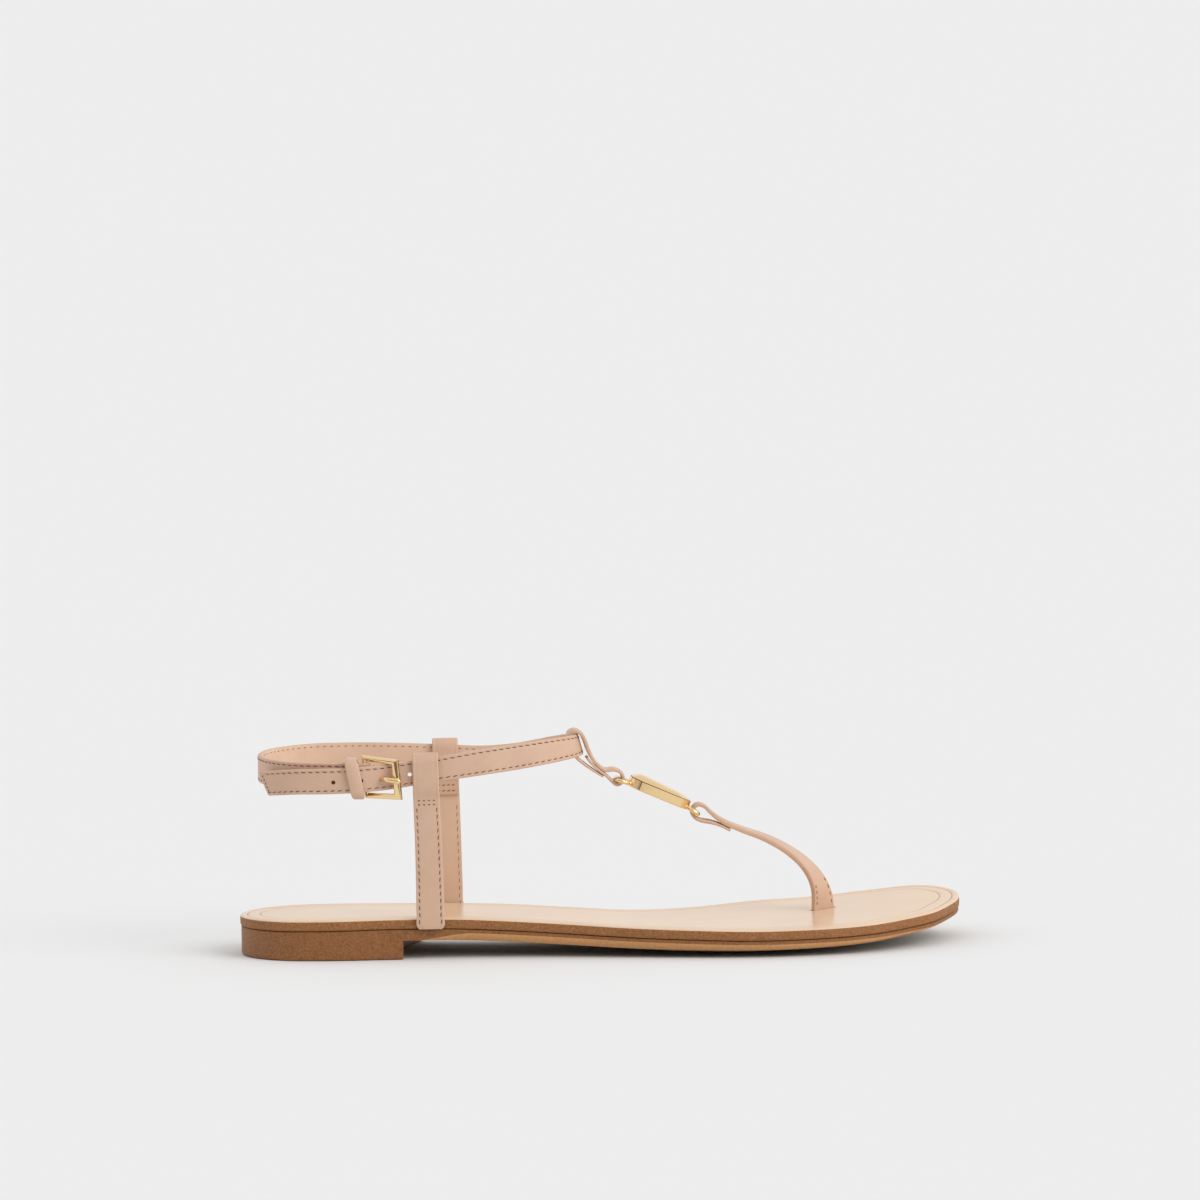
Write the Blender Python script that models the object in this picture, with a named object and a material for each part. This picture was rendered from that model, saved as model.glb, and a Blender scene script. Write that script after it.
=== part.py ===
"""Flat t strap sandal for the right foot, built from the pieces a sandal maker joins.

Row frame: +X runs from the heel to the toe, +Y to the medial side, +Z up, and the floor is z = 0.
The tables are in millimetres, with x counted from the back of the heel and y from the heel's middle.
"""
import math

import bmesh
import bpy
import numpy as np
from mathutils import Vector

MM = 0.001

# Sole
LENGTH = 251.1
HEEL_RADIUS = 27.0
INSOLE_THICKNESS = 3.55
SEAM_GAP = 0.3
INSOLE_EDGE_ROUND = 0.5
OUTSOLE_INSET = 0.3
SIDE_BAND = 1.2
EDGE_ROUND = 2.2
HEEL_INSET = 0.5
HEEL_TOP = 8.0
BREAST_X = 57.0
BREAST_SKEW = 0.13
BREAST_HOLLOW = 4.0
BOX_MIDDLE_Y = 2.05

# Straps
STRAP_WIDTH = 9.2
STRAP_THICKNESS = 1.8
FOLD_THICKNESS = 1.3
TONGUE_THICKNESS = 2.0
EDGE_CHAMFER = 0.45
HOLE_RADIUS = 0.9
HOLE_STATIONS = (33.8, 42.9, 50.6, 60.3)
TONGUE_SLANT = 0.48

# Metal
HINGE_X, HINGE_Y, HINGE_Z = 44.6, -27.0, 64.5
PRONG_Z = 63.9
PLATE_LENGTH, PLATE_WIDTH, PLATE_THICKNESS = 22.3, 12.0, 3.3
PLATE_CORNER_X, PLATE_CORNER_Y = 3.5, 2.7
PLATE_FALL = 0.45
PLATE_CENTRE = (146.75, 2.6, 53.4)
PLATE_SLOPE = math.radians(-23.8)
INSTEP_YAW = math.radians(4.6)
WIRE_RADIUS = 0.75
REAR_BAR = (131.8, 1.5, 58.75)
FRONT_BAR = (160.0, 3.8, 45.95)
BAR_HALF_WIDTH, LEG_HALF_WIDTH = 4.3, 3.2

# Sole stations: distance from the heel back, lateral edge, medial edge, height of the insole's top
# at y = 0, its roll towards the medial side, the outsole's depth at its edge, and how far its
# underside bellies below that edge.
SOLE_COLUMNS = ("x", "lateral", "medial", "top", "roll", "edge", "belly")
SOLE = (
    (0.0, 0.0, 0.0, 13.65, -0.005, 3.9, 0.0),
    (34.0, -27.0, 27.0, 13.75, -0.008, 3.9, 0.0),
    (55.0, -27.0, 26.5, 13.8, -0.015, 3.9, 0.2),
    (73.0, -27.0, 25.2, 13.7, -0.015, 3.9, 0.6),
    (94.0, -28.0, 23.2, 13.0, -0.006, 3.9, 0.9),
    (115.0, -30.3, 23.7, 11.6, -0.011, 3.9, 1.3),
    (136.0, -34.2, 27.4, 10.1, -0.019, 3.75, 1.9),
    (157.0, -38.0, 34.8, 9.6, -0.011, 3.6, 2.9),
    (178.0, -40.3, 42.3, 9.84, 0.008, 3.35, 3.4),
    (199.0, -38.5, 44.6, 10.3, 0.018, 3.25, 2.9),
    (220.0, -31.5, 43.9, 11.4, 0.041, 2.85, 1.7),
    (240.0, -14.5, 38.2, 12.6, 0.069, 2.1, 0.7),
    (251.1, 17.0, 17.0, 12.7, 0.085, 1.5, 0.2),
)

# The toe's outline beyond the last full stations, from the lateral side round the tip
TOE_OUTLINE = ((230.0, -24.3), (240.7, -13.6), (247.2, 0.0), (250.3, 9.5), (LENGTH, 17.0),
               (250.2, 24.5), (246.6, 31.3), (240.7, 37.6), (230.0, 42.6))

# Ankle strap, from the free end folded round the buckle's hinge bar, back round the heel, along
# the medial side, across the instep and down the lateral side to the tongue's slanted end.
# Lean tips the strap's top edge towards the leg, in degrees.
STRAP_COLUMNS = ("x", "y", "z", "lean", "width", "thickness")
ANKLE_FOLD = (
    (31.5, -25.1, 64.5, 0, 8.6, 1.0),
    (37.5, -25.25, 64.5, 0, 8.6, 1.2),
    (42.8, -25.35, 64.5, 0, 8.4, FOLD_THICKNESS),
)
ANKLE_HEEL = (
    (42.8, -28.65, 64.5, 0, 8.4, FOLD_THICKNESS),
    (38.0, -28.3, 64.5, 0, 9.0, 1.4),
    (32.5, -27.35, 64.6, 0, STRAP_WIDTH, 1.6),
    (25.9, -25.4, 64.5, 0, 9.3, STRAP_THICKNESS),
    (16.0, -19.1, 64.5, 0, 9.4, STRAP_THICKNESS),
    (10.2, -10.5, 64.7, 0, 9.4, STRAP_THICKNESS),
    (8.0, 0.0, 64.9, 0, 9.4, STRAP_THICKNESS),
    (10.2, 10.5, 65.2, 0, 9.4, STRAP_THICKNESS),
    (16.0, 19.1, 65.4, 0, STRAP_WIDTH, STRAP_THICKNESS),
    (25.9, 25.4, 65.6, 0, STRAP_WIDTH, STRAP_THICKNESS),
    (35.1, 27.0, 65.6, 0, STRAP_WIDTH, STRAP_THICKNESS),
    (55.0, 27.0, 65.2, 0, STRAP_WIDTH, 1.6),
    (72.0, 26.7, 64.5, 0, 9.0, 1.4),
    (86.0, 25.2, 63.9, 2, STRAP_WIDTH, STRAP_THICKNESS),
    (98.0, 21.6, 65.1, 6, STRAP_WIDTH, STRAP_THICKNESS),
    (109.8, 15.7, 68.1, 11, 8.6, 1.7),
    (116.8, 9.1, 70.2, 15, 7.9, 1.4),
    (119.1, 0.5, 71.1, 15, 7.5, 1.4),
    (116.8, -8.1, 71.2, 14, 7.9, 1.4),
    (109.8, -14.7, 70.7, 10, 8.5, 1.6),
    (98.0, -21.0, 69.6, 6, 9.0, STRAP_THICKNESS),
    (83.0, -26.5, 68.1, 2, 9.0, STRAP_THICKNESS),
    (70.0, -28.6, 66.4, 0, 8.6, 1.4),
    (62.0, -28.7, 65.4, 0, 8.8, 1.5),
    (56.3, -29.0, 64.6, 0, 8.9, STRAP_THICKNESS),
    (50.4, -30.2, 64.0, 0, 8.9, STRAP_THICKNESS),
    (44.2, -31.0, 63.6, 0, 8.9, STRAP_THICKNESS),
    (38.0, -30.7, 63.2, 0, 8.9, STRAP_THICKNESS),
    (30.0, -29.9, 63.0, 0, 8.9, STRAP_THICKNESS),
    (21.0, -27.2, 62.7, 0, 8.8, STRAP_THICKNESS),
    (14.5, -22.6, 62.0, 0, 8.7, STRAP_THICKNESS),
    (9.9, -17.7, 61.3, 0, 8.6, STRAP_THICKNESS),
)

# Side posts, from the seam up to the fold over the ankle strap and down to the stitched end.
# Offset runs outwards from the ankle strap's middle plane.
POST_COLUMNS = ("offset", "z", "shift", "width", "thickness")
POST_BASE_Z = 10.6
POST = (
    (-0.3, 0.0, 0.0, 8.2, 1.0),
    (-0.29, 0.012, 0.0, 9.3, 1.2),
    (-0.25, 0.07, 0.0, 9.6, 1.5),
    (-0.2, 0.28, 0.05, 9.5, 1.7),
    (0.0, 0.52, 0.2, 9.3, 1.7),
    (0.3, 0.69, 0.4, 9.2, 1.6),
    (0.85, 0.75, 0.45, 9.2, 1.4),
    (2.1, 0.81, 0.5, 9.1, 1.4),
    (2.15, 0.92, 0.55, 9.1, 1.4),
    (2.05, 0.970, 0.6, 9.0, 1.3),
    (1.1, 0.993, 0.6, 9.0, 1.2),
    (0.0, 1.0, 0.6, 9.0, 1.2),
    (-1.1, 0.993, 0.6, 9.0, 1.2),
    (-2.05, 0.970, 0.6, 9.0, 1.3),
    (-2.15, 0.92, 0.55, 9.1, 1.4),
    (-2.1, 0.81, 0.5, 9.1, 1.4),
    (-0.95, 0.755, 0.45, 9.1, 1.2),
    (-1.05, 0.72, 0.4, 9.1, 1.0),
    (-1.2, 0.68, 0.4, 9.1, 0.9),
)
POSTS = {
    "lateral_post": {"x": 66.6, "y": -28.55, "top": 71.8, "out": -1.0, "shift": -0.85},
    "medial_post": {"x": 72.7, "y": 26.8, "top": 70.7, "out": 1.0, "shift": -0.5},
}

# Instep strap, along the foot and up, from its skived end under the other layers, up behind the
# ankle strap, over it, down to the rear wire loop, round the loop and back between the layers
INSTEP_COLUMNS = ("x", "z", "width", "thickness")
INSTEP = (
    (127.2, 59.75, 6.8, 0.7),
    (124.1, 61.75, 7.6, 0.85),
    (120.8, 64.2, 8.0, 1.0),
    (117.8, 66.9, 8.0, 1.1),
    (116.2, 70.1, 8.0, 1.2),
    (115.4, 73.3, 8.0, 1.2),
    (115.6, 75.0, 8.0, 1.25),
    (117.3, 76.0, 8.0, 1.3),
    (119.4, 75.3, 8.0, 1.3),
    (121.1, 72.5, 8.0, 1.3),
    (122.2, 69.3, 8.0, 1.3),
    (124.5, 64.95, 7.9, 1.2),
    (128.2, 61.95, 7.4, 1.2),
    (131.2, 62.05, 6.6, 1.2),
    (133.5, 60.9, 6.3, 1.2),
    (134.2, 59.2, 6.2, 1.2),
    (133.6, 57.5, 6.2, 1.2),
    (132.0, 56.75, 6.2, 1.2),
    (130.3, 58.0, 6.3, 1.2),
    (128.4, 59.9, 6.9, 1.0),
    (125.7, 62.05, 7.8, 0.95),
    (122.9, 64.85, 7.9, 0.95),
    (121.7, 66.6, 7.9, 0.95),
)
INSTEP_Y = 0.6

# Toe thong, from the skived end under the strap, round the front wire loop and down between the
# toes. Twist turns the strap's face towards the lateral side, in degrees.
THONG_COLUMNS = ("x", "y", "z", "twist", "width", "thickness")
THONG = (
    (171.2, 4.8, 39.75, 0, 8.0, 0.95),
    (167.6, 4.6, 41.6, 0, 7.6, 1.0),
    (164.4, 4.3, 42.7, 0, 7.4, 1.2),
    (161.0, 4.0, 43.4, 0, 6.6, 1.2),
    (159.0, 3.8, 44.45, 0, 6.3, 1.2),
    (158.05, 3.7, 46.1, 0, 6.2, 1.2),
    (158.6, 3.75, 47.9, 0, 6.2, 1.2),
    (160.1, 3.9, 49.0, 0, 6.3, 1.2),
    (162.2, 4.1, 48.4, 0, 6.8, 1.2),
    (164.4, 4.3, 46.3, 0, 7.4, 1.4),
    (166.8, 4.45, 44.2, 0, 7.9, 1.6),
    (169.8, 4.7, 42.3, 0, 8.1, 1.7),
    (174.0, 5.1, 40.35, 0, 8.3, 1.8),
    (184.0, 6.3, 36.3, 4, 8.6, 1.9),
    (191.4, 7.3, 32.0, 10, 8.8, 1.9),
    (197.0, 8.3, 27.2, 18, 9.0, 1.9),
    (200.6, 9.0, 22.4, 30, 9.0, 1.9),
    (202.5, 9.6, 18.0, 43, 9.0, 1.9),
    (203.2, 9.9, 14.2, 53, 9.0, 1.9),
    (203.3, 10.0, 11.15, 57, 9.2, 1.9),
)

# Buckle frame along the middle of its bars, from the top of the front bar round by the hinge bar
BUCKLE_COLUMNS = ("x", "y", "z", "bar", "mitre")
BUCKLE = (
    (55.3, -32.2, 69.5, 2.1, 1.38),
    (44.7, -27.7, 70.6, 1.9, 1.38),
    (HINGE_X, HINGE_Y, 69.5, 1.5, 1.0),
    (HINGE_X, HINGE_Y, 60.0, 1.5, 1.0),
    (46.0, -27.7, 57.6, 1.9, 1.38),
    (56.6, -32.2, 57.5, 2.1, 1.38),
)

# The prong after its ring: its way along the strap, how far it drops below the ring, its radius.
PRONG_COLUMNS = ("x", "y", "drop", "radius")
PRONG = (
    (47.6, -28.45, 0.0, 0.6),
    (50.05, -28.55, 0.0, 0.6),
    (50.5, -29.1, 0.0, 0.6),
    (50.7, -31.2, 0.0, 0.6),
    (51.5, -32.5, 0.1, 0.75),
    (53.0, -33.75, 0.35, 0.8),
    (54.6, -34.25, 0.6, 0.8),
    (56.8, -34.25, 0.95, 0.75),
    (57.3, -34.2, 1.0, 0.4),
)

# Keeper loop round the folded strap and the tongue, as a ring of rounded corners
KEEPER_WIDTH, KEEPER_THICKNESS = 4.8, 1.1
KEEPER_INNER_Y, KEEPER_OUTER_Y = -23.75, -32.65
KEEPER_LOW_Z, KEEPER_HIGH_Z = 57.1, 70.35
KEEPER_X, KEEPER_SLANT = 41.2, -0.2
KEEPER_CORNER = 2.6


def clear_scene():
    for item in list(bpy.data.objects):
        bpy.data.objects.remove(item, do_unlink=True)


def hermite(knots, values, where):
    """Cubic curve through the rows of values at the given knots, sloped as its neighbours are."""
    knots = np.asarray(knots, float)
    values = np.asarray(values, float)
    chords = np.diff(values, axis=0) / np.diff(knots)[:, None]
    slopes = np.empty_like(values)
    slopes[0], slopes[-1] = chords[0], chords[-1]
    before, after = np.diff(knots)[:-1, None], np.diff(knots)[1:, None]
    slopes[1:-1] = (chords[:-1] * after + chords[1:] * before) / (before + after)
    where = np.clip(np.asarray(where, float), knots[0], knots[-1])
    i = np.clip(np.searchsorted(knots, where, side="right") - 1, 0, len(knots) - 2)
    span = (knots[i + 1] - knots[i])[:, None]
    t = (where - knots[i])[:, None] / span
    return ((1 + 2 * t) * (1 - t) ** 2 * values[i] + t * (1 - t) ** 2 * span * slopes[i]
            + t * t * (3 - 2 * t) * values[i + 1] + t * t * (t - 1) * span * slopes[i + 1])


def along(rows, places, step):
    """Rows of a smooth curve through the given rows, about step apart; places are x, y, z columns."""
    rows = np.asarray(rows, float)
    lengths = np.linalg.norm(np.diff(rows[:, places], axis=0), axis=1)
    knots = np.concatenate([[0.0], np.cumsum(lengths)])
    dense = hermite(knots, rows, np.linspace(0.0, knots[-1], 1200))
    lengths = np.linalg.norm(np.diff(dense[:, places], axis=0), axis=1)
    run = np.concatenate([[0.0], np.cumsum(lengths)])
    count = max(2, round(run[-1] / step) + 1)
    even = np.linspace(0.0, run[-1], count)
    return np.column_stack([np.interp(even, run, dense[:, c]) for c in range(rows.shape[1])])


def sole_column(name, x):
    table = np.array(SOLE)
    column = SOLE_COLUMNS.index(name)
    return hermite(table[:, 0], table[:, [column]], np.atleast_1d(x))[:, 0]


def seat(x, y):
    """Height of the insole's top."""
    return sole_column("top", x) + sole_column("roll", x) * y


def outline(count):
    """The insole's edge as count points: heel back first, lateral side, toe tip at the half."""
    arc = [math.radians(a) for a in (22.5, 45.0, 67.5, 90.0)]
    heel = [(HEEL_RADIUS * (1 - math.cos(a)), HEEL_RADIUS * math.sin(a)) for a in arc]
    middle = [row for row in SOLE if 34.0 < row[0] < 225.0]
    tip = TOE_OUTLINE.index((LENGTH, 17.0))
    lateral = [(x, -y) for x, y in heel] + [(row[0], row[1]) for row in middle]
    medial = heel + [(row[0], row[2]) for row in middle]
    half_lateral = lateral + list(TOE_OUTLINE[:tip])
    half_medial = medial + list(TOE_OUTLINE[:tip:-1])
    loop = [(0.0, 0.0)] + half_lateral + [TOE_OUTLINE[tip]] + half_medial[::-1]
    closed = np.array(loop[-4:] + loop + loop[:5], float)
    knots = np.concatenate([[0.0], np.cumsum(np.linalg.norm(np.diff(closed, axis=0), axis=1))])
    start, toe, end = knots[4], knots[5 + len(half_lateral)], knots[4 + len(loop)]
    sides = []
    for low, high in ((start, toe), (toe, end)):
        dense = hermite(knots, closed, np.linspace(low, high, 1500))
        run = np.concatenate([[0.0], np.cumsum(np.linalg.norm(np.diff(dense, axis=0), axis=1))])
        even = np.linspace(0.0, run[-1], count // 2 + 1)[:-1]
        sides.append(np.column_stack([np.interp(even, run, dense[:, c]) for c in (0, 1)]))
    return np.vstack(sides)


def inset(points, distance):
    """The closed outline moved inwards; distance is a number or one value a point."""
    tangent = np.roll(points, -1, axis=0) - np.roll(points, 1, axis=0)
    tangent /= np.linalg.norm(tangent, axis=1)[:, None]
    inward = np.column_stack([-tangent[:, 1], tangent[:, 0]])
    return points + inward * np.atleast_1d(distance)[:, None]


def to_frame(points):
    """Millimetres from the heel's back to metres in the row frame."""
    points = np.asarray(points, float)
    return (points - np.array([LENGTH / 2.0, BOX_MIDDLE_Y, 0.0])) * MM


def make_object(name, vertices, faces, material):
    """A closed mesh in the row frame, from points in millimetres."""
    mesh = bpy.data.meshes.new(name)
    mesh.from_pydata([tuple(p) for p in to_frame(vertices)], [], faces)
    shell = bmesh.new()
    shell.from_mesh(mesh)
    bmesh.ops.recalc_face_normals(shell, faces=shell.faces)
    shell.to_mesh(mesh)
    shell.free()
    mesh.materials.append(material)
    mesh.shade_smooth()
    mesh.set_sharp_from_angle(angle=math.radians(35.0))
    item = bpy.data.objects.new(name, mesh)
    bpy.context.scene.collection.objects.link(item)
    return item


def make_material(name, colour, roughness, metallic=0.0):
    material = bpy.data.materials.new(name)
    material.use_nodes = True
    shader = material.node_tree.nodes["Principled BSDF"]
    shader.inputs["Base Color"].default_value = (*colour, 1.0)
    shader.inputs["Roughness"].default_value = roughness
    shader.inputs["Metallic"].default_value = metallic
    return material


def cap_grid(vertices, faces, ring, first, height, columns):
    """Fills a ring whose points pair up across the sole; height takes x, y and the share across."""
    count = len(ring)
    rows = [[first]]
    for i in range(1, count // 2):
        a, b = ring[i], ring[count - i]
        row = [first + i]
        for k in range(1, columns):
            share = 0.5 - 0.5 * math.cos(math.pi * k / columns)
            x, y = a + (b - a) * share
            row.append(len(vertices))
            vertices.append((x, y, float(height(x, y, share))))
        row.append(first + count - i)
        rows.append(row)
    rows.append([first + count // 2])
    for low, high in zip(rows, rows[1:]):
        if len(low) == 1:
            faces += [(low[0], high[k], high[k + 1]) for k in range(len(high) - 1)]
        elif len(high) == 1:
            faces += [(low[k], high[0], low[k + 1]) for k in range(len(low) - 1)]
        else:
            faces += [(low[k], high[k], high[k + 1], low[k + 1]) for k in range(len(low) - 1)]


def plate(name, edge, levels, top, bottom, columns, material):
    """A sole layer: rings from levels of (inset, height), closed by grids above and below."""
    vertices, faces = [], []
    count = len(edge)
    for distance, height in levels:
        ring = inset(edge, distance(edge[:, 0]))
        z = height(ring[:, 0], ring[:, 1])
        vertices += [(x, y, h) for (x, y), h in zip(ring, z)]
    for level in range(len(levels) - 1):
        a, b = level * count, (level + 1) * count
        faces += [(a + i, a + (i + 1) % count, b + (i + 1) % count, b + i) for i in range(count)]
    first = inset(edge, levels[0][0](edge[:, 0]))
    last = inset(edge, levels[-1][0](edge[:, 0]))
    cap_grid(vertices, faces, first, 0, top, columns[0])
    cap_grid(vertices, faces, last, (len(levels) - 1) * count, bottom, columns[1])
    return make_object(name, vertices, faces, material)


def build_insole(material):
    under = INSOLE_THICKNESS
    levels = (
        (lambda x: x * 0 + INSOLE_EDGE_ROUND, seat),
        (lambda x: x * 0, lambda x, y: seat(x, y) - INSOLE_EDGE_ROUND),
        (lambda x: x * 0, lambda x, y: seat(x, y) - under),
    )
    return plate("insole", outline(88), levels, lambda x, y, s: seat(x, y)[0],
                 lambda x, y, s: seat(x, y)[0] - under, (4, 4), material)


def outsole_top(x, y):
    return seat(x, y) - INSOLE_THICKNESS - SEAM_GAP


def edge_softness(x):
    """How far the outsole's lower edge is rounded: square at the heel, full in front of it."""
    t = np.clip((np.asarray(x, float) - 60.0) / 22.0, 0.06, 1.0)
    return t * t * (3 - 2 * t)


def underside(x, y, share):
    """Height of the outsole's underside, flat on the floor under the ball of the foot."""
    edge = outsole_top(x, y)[0] - sole_column("edge", x)[0]
    return max(0.0, edge - sole_column("belly", x)[0] * 4.0 * share * (1.0 - share))


def rounded_level(angle):
    """One ring of the outsole's rounded lower edge."""
    def distance(x):
        return OUTSOLE_INSET + EDGE_ROUND * edge_softness(x) * (1.0 - math.cos(angle))

    def height(x, y):
        depth = sole_column("edge", x)
        drop = (depth - SIDE_BAND) * edge_softness(x)
        return outsole_top(x, y) - depth + drop * (1.0 - math.sin(angle))

    return distance, height


def breast(y):
    """The heel's hollow front face: its x at each y."""
    return (BREAST_X + BREAST_SKEW * (y + HEEL_RADIUS)
            - BREAST_HOLLOW * (1.0 - (y / HEEL_RADIUS) ** 2))


def build_heel_block(material):
    edge = inset(outline(88), HEEL_INSET)
    lateral = [p for p in edge[:44] if p[0] < breast(p[1]) - 1.0]
    medial = [p for p in edge[44:] if p[0] < breast(p[1]) - 1.0]
    low, high = lateral[-1][1], medial[0][1]
    front = [(breast(y), y) for y in np.linspace(low, high, 11)]
    loop = list(lateral) + front + list(medial)
    count = len(loop)
    vertices = [(x, y, z) for z in (0.0, HEEL_TOP) for x, y in loop]
    faces = [tuple(range(count)), tuple(range(count, 2 * count))]
    faces += [(i, (i + 1) % count, count + (i + 1) % count, count + i) for i in range(count)]
    return make_object("heel_block", vertices, faces, material)


def build_outsole(material):
    """The moulded unit: outsole with its rounded lower edge, and the heel under it."""
    angles = [math.radians(a) for a in (0.0, 35.0, 62.0, 90.0)]
    levels = [(lambda x: x * 0 + OUTSOLE_INSET, outsole_top)]
    levels += [rounded_level(a) for a in angles]
    outsole = plate("outsole", outline(88), levels,
                    lambda x, y, s: outsole_top(x, y)[0], underside, (4, 8), material)
    heel = build_heel_block(material)
    heel.hide_render = True
    heel.display_type = "WIRE"
    union = outsole.modifiers.new("heel", "BOOLEAN")
    union.operation = "UNION"
    union.solver = "EXACT"
    union.object = heel
    return outsole


def strap_section(width, thickness):
    """A strap's section, its edges folded round, as pairs across and out."""
    chamfer = min(EDGE_CHAMFER, thickness * 0.4)
    w, t = width / 2.0, thickness / 2.0
    return [(-w, -t + chamfer), (-w, t - chamfer), (-w + chamfer, t), (w - chamfer, t),
            (w, t - chamfer), (w, -t + chamfer), (w - chamfer, -t), (-w + chamfer, -t)]


def sweep(name, path, across, twist, sections, material, slant=0.0, closed=False):
    """A section swept along a path. across is the width direction, turned by twist about the
    path, and slant shears the last section along the path."""
    path = np.asarray(path, float)
    if closed:
        tangent = np.roll(path, -1, axis=0) - np.roll(path, 1, axis=0)
    else:
        tangent = np.gradient(path, axis=0)
    vertices, faces = [], []
    for i, point in enumerate(path):
        t = Vector(tangent[i]).normalized()
        w = Vector(across)
        w = (w - t * w.dot(t)).normalized()
        n = t.cross(w)
        angle = math.radians(twist[i])
        w, n = w * math.cos(angle) + n * math.sin(angle), n * math.cos(angle) - w * math.sin(angle)
        shear = slant if i == len(path) - 1 else 0.0
        vertices += [Vector(point) + w * a + n * b + t * (a * shear) for a, b in sections[i]]
    sides, count = len(sections[0]), len(path)
    for i in range(count if closed else count - 1):
        a, b = i * sides, ((i + 1) % count) * sides
        faces += [(a + k, a + (k + 1) % sides, b + (k + 1) % sides, b + k) for k in range(sides)]
    if not closed:
        faces += [tuple(range(sides)), tuple(range((count - 1) * sides, count * sides))]
    return make_object(name, vertices, faces, material)


def hinge_fold(radius):
    """Rows of the ankle strap round the buckle's hinge bar, leg side to outer side."""
    angles = [math.radians(a) for a in (90, 45, 0, -45, -90)]
    return [(HINGE_X + radius * math.cos(a), HINGE_Y + radius * math.sin(a), HINGE_Z, 0, 9.0,
             FOLD_THICKNESS) for a in angles]


def drill(target, name, centre, size, round_hole):
    """Cuts a hole or a slot, given by its centre and half sizes, through the target."""
    if round_hole:
        bpy.ops.mesh.primitive_cylinder_add(vertices=10, radius=size[0] * MM, depth=size[1] * MM)
    else:
        bpy.ops.mesh.primitive_cube_add(size=1.0)
    cutter = bpy.context.object
    cutter.name = name
    if round_hole:
        cutter.rotation_euler = (math.radians(90.0), 0.0, 0.0)
    else:
        cutter.scale = [2.0 * s * MM for s in size]
    cutter.location = to_frame([centre])[0]
    cutter.hide_render = True
    cutter.display_type = "WIRE"
    cut = target.modifiers.new(name, "BOOLEAN")
    cut.operation = "DIFFERENCE"
    cut.solver = "EXACT"
    cut.object = cutter


def build_ankle_strap(material):
    rows = np.vstack([ANKLE_FOLD, hinge_fold(1.65), along(ANKLE_HEEL, [0, 1, 2], 4.2)[1:]])
    sections = [strap_section(row[4], row[5]) for row in rows]
    strap = sweep("ankle_strap", rows[:, :3], (0, 0, 1), rows[:, 3], sections, material,
                  slant=TONGUE_SLANT)
    tongue = rows[len(rows) // 2:]
    tongue = tongue[tongue[:, 1] < -20.0]
    order = np.argsort(tongue[:, 0])
    for i, x in enumerate(HOLE_STATIONS):
        y = np.interp(x, tongue[order, 0], tongue[order, 1])
        z = np.interp(x, tongue[order, 0], tongue[order, 2])
        drill(strap, f"punch_{i + 1}", (x, y, z), (HOLE_RADIUS, 2.4), True)
    drill(strap, "prong_slot", (HINGE_X + 0.5, HINGE_Y, PRONG_Z), (2.4, 2.75, 1.1), False)
    return strap


def build_post(name, place, material):
    """A side post: a strip from the seam to a fold over the ankle strap and its stitched end."""
    rows = []
    height = place["top"] - POST_BASE_Z
    for offset, z, shift, width, thickness in POST:
        rows.append((place["x"] + shift * place["shift"] / 0.6, place["y"] + place["out"] * offset,
                     POST_BASE_Z + z * height, width, thickness))
    rows = np.array(rows)
    sections = [strap_section(row[3], row[4]) for row in rows]
    return sweep(name, rows[:, :3], (1, 0, 0), rows[:, 0] * 0.0, sections, material)


def build_instep_strap(material):
    yaw = math.tan(INSTEP_YAW)
    rows = [(x, INSTEP_Y + (x - 119.0) * yaw, z, width, t) for x, z, width, t in INSTEP]
    rows = along(rows, [0, 1, 2], 1.9)
    sections = [strap_section(row[3], row[4]) for row in rows]
    across = (-math.sin(INSTEP_YAW), math.cos(INSTEP_YAW), 0)
    return sweep("instep_strap", rows[:, :3], across, rows[:, 0] * 0.0, sections, material)


def build_thong(material):
    rows = along(THONG, [0, 1, 2], 2.2)
    sections = [strap_section(row[4], row[5]) for row in rows]
    across = (-math.sin(INSTEP_YAW), math.cos(INSTEP_YAW), 0)
    return sweep("toe_thong", rows[:, :3], across, rows[:, 3], sections, material)


def rounded_loop(width, height, radius, steps):
    """Corner points of a rounded rectangle round the origin, as pairs."""
    points = []
    for quarter in range(4):
        sx, sy = ((1, 1), (-1, 1), (-1, -1), (1, -1))[quarter]
        for k in range(steps + 1):
            a = math.radians(90.0 * (quarter + k / steps))
            points.append((sx * (width / 2 - radius) + radius * math.cos(a),
                           sy * (height / 2 - radius) + radius * math.sin(a)))
    return points


def build_keeper(material):
    """The keeper ring, slanted as it sits on the strap."""
    width, height = KEEPER_INNER_Y - KEEPER_OUTER_Y, KEEPER_HIGH_Z - KEEPER_LOW_Z
    middle_y = (KEEPER_INNER_Y + KEEPER_OUTER_Y) / 2
    middle_z = (KEEPER_LOW_Z + KEEPER_HIGH_Z) / 2
    path = [(KEEPER_X + KEEPER_SLANT * z, middle_y + y, middle_z + z)
            for y, z in rounded_loop(width, height, KEEPER_CORNER, 4)]
    sections = [strap_section(KEEPER_WIDTH, KEEPER_THICKNESS)] * len(path)
    return sweep("keeper_loop", path, (1, 0, 0), [0.0] * len(path), sections, material, closed=True)


def octagon(width, depth, chamfer):
    w, d = width / 2, depth / 2
    return [(-w, -d + chamfer), (-w, d - chamfer), (-w + chamfer, d), (w - chamfer, d),
            (w, d - chamfer), (w, -d + chamfer), (w - chamfer, -d), (-w + chamfer, -d)]


def build_buckle_frame(material):
    """The buckle: a bevelled rectangular frame whose rear bar is the prong's hinge."""
    path = [row[:3] for row in BUCKLE]
    sections = [octagon(row[3], row[3] * row[4], 0.29 * row[3]) for row in BUCKLE]
    return sweep("buckle_frame", path, (0, 1, 0), [0.0] * len(path), sections, material,
                 closed=True)


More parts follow.
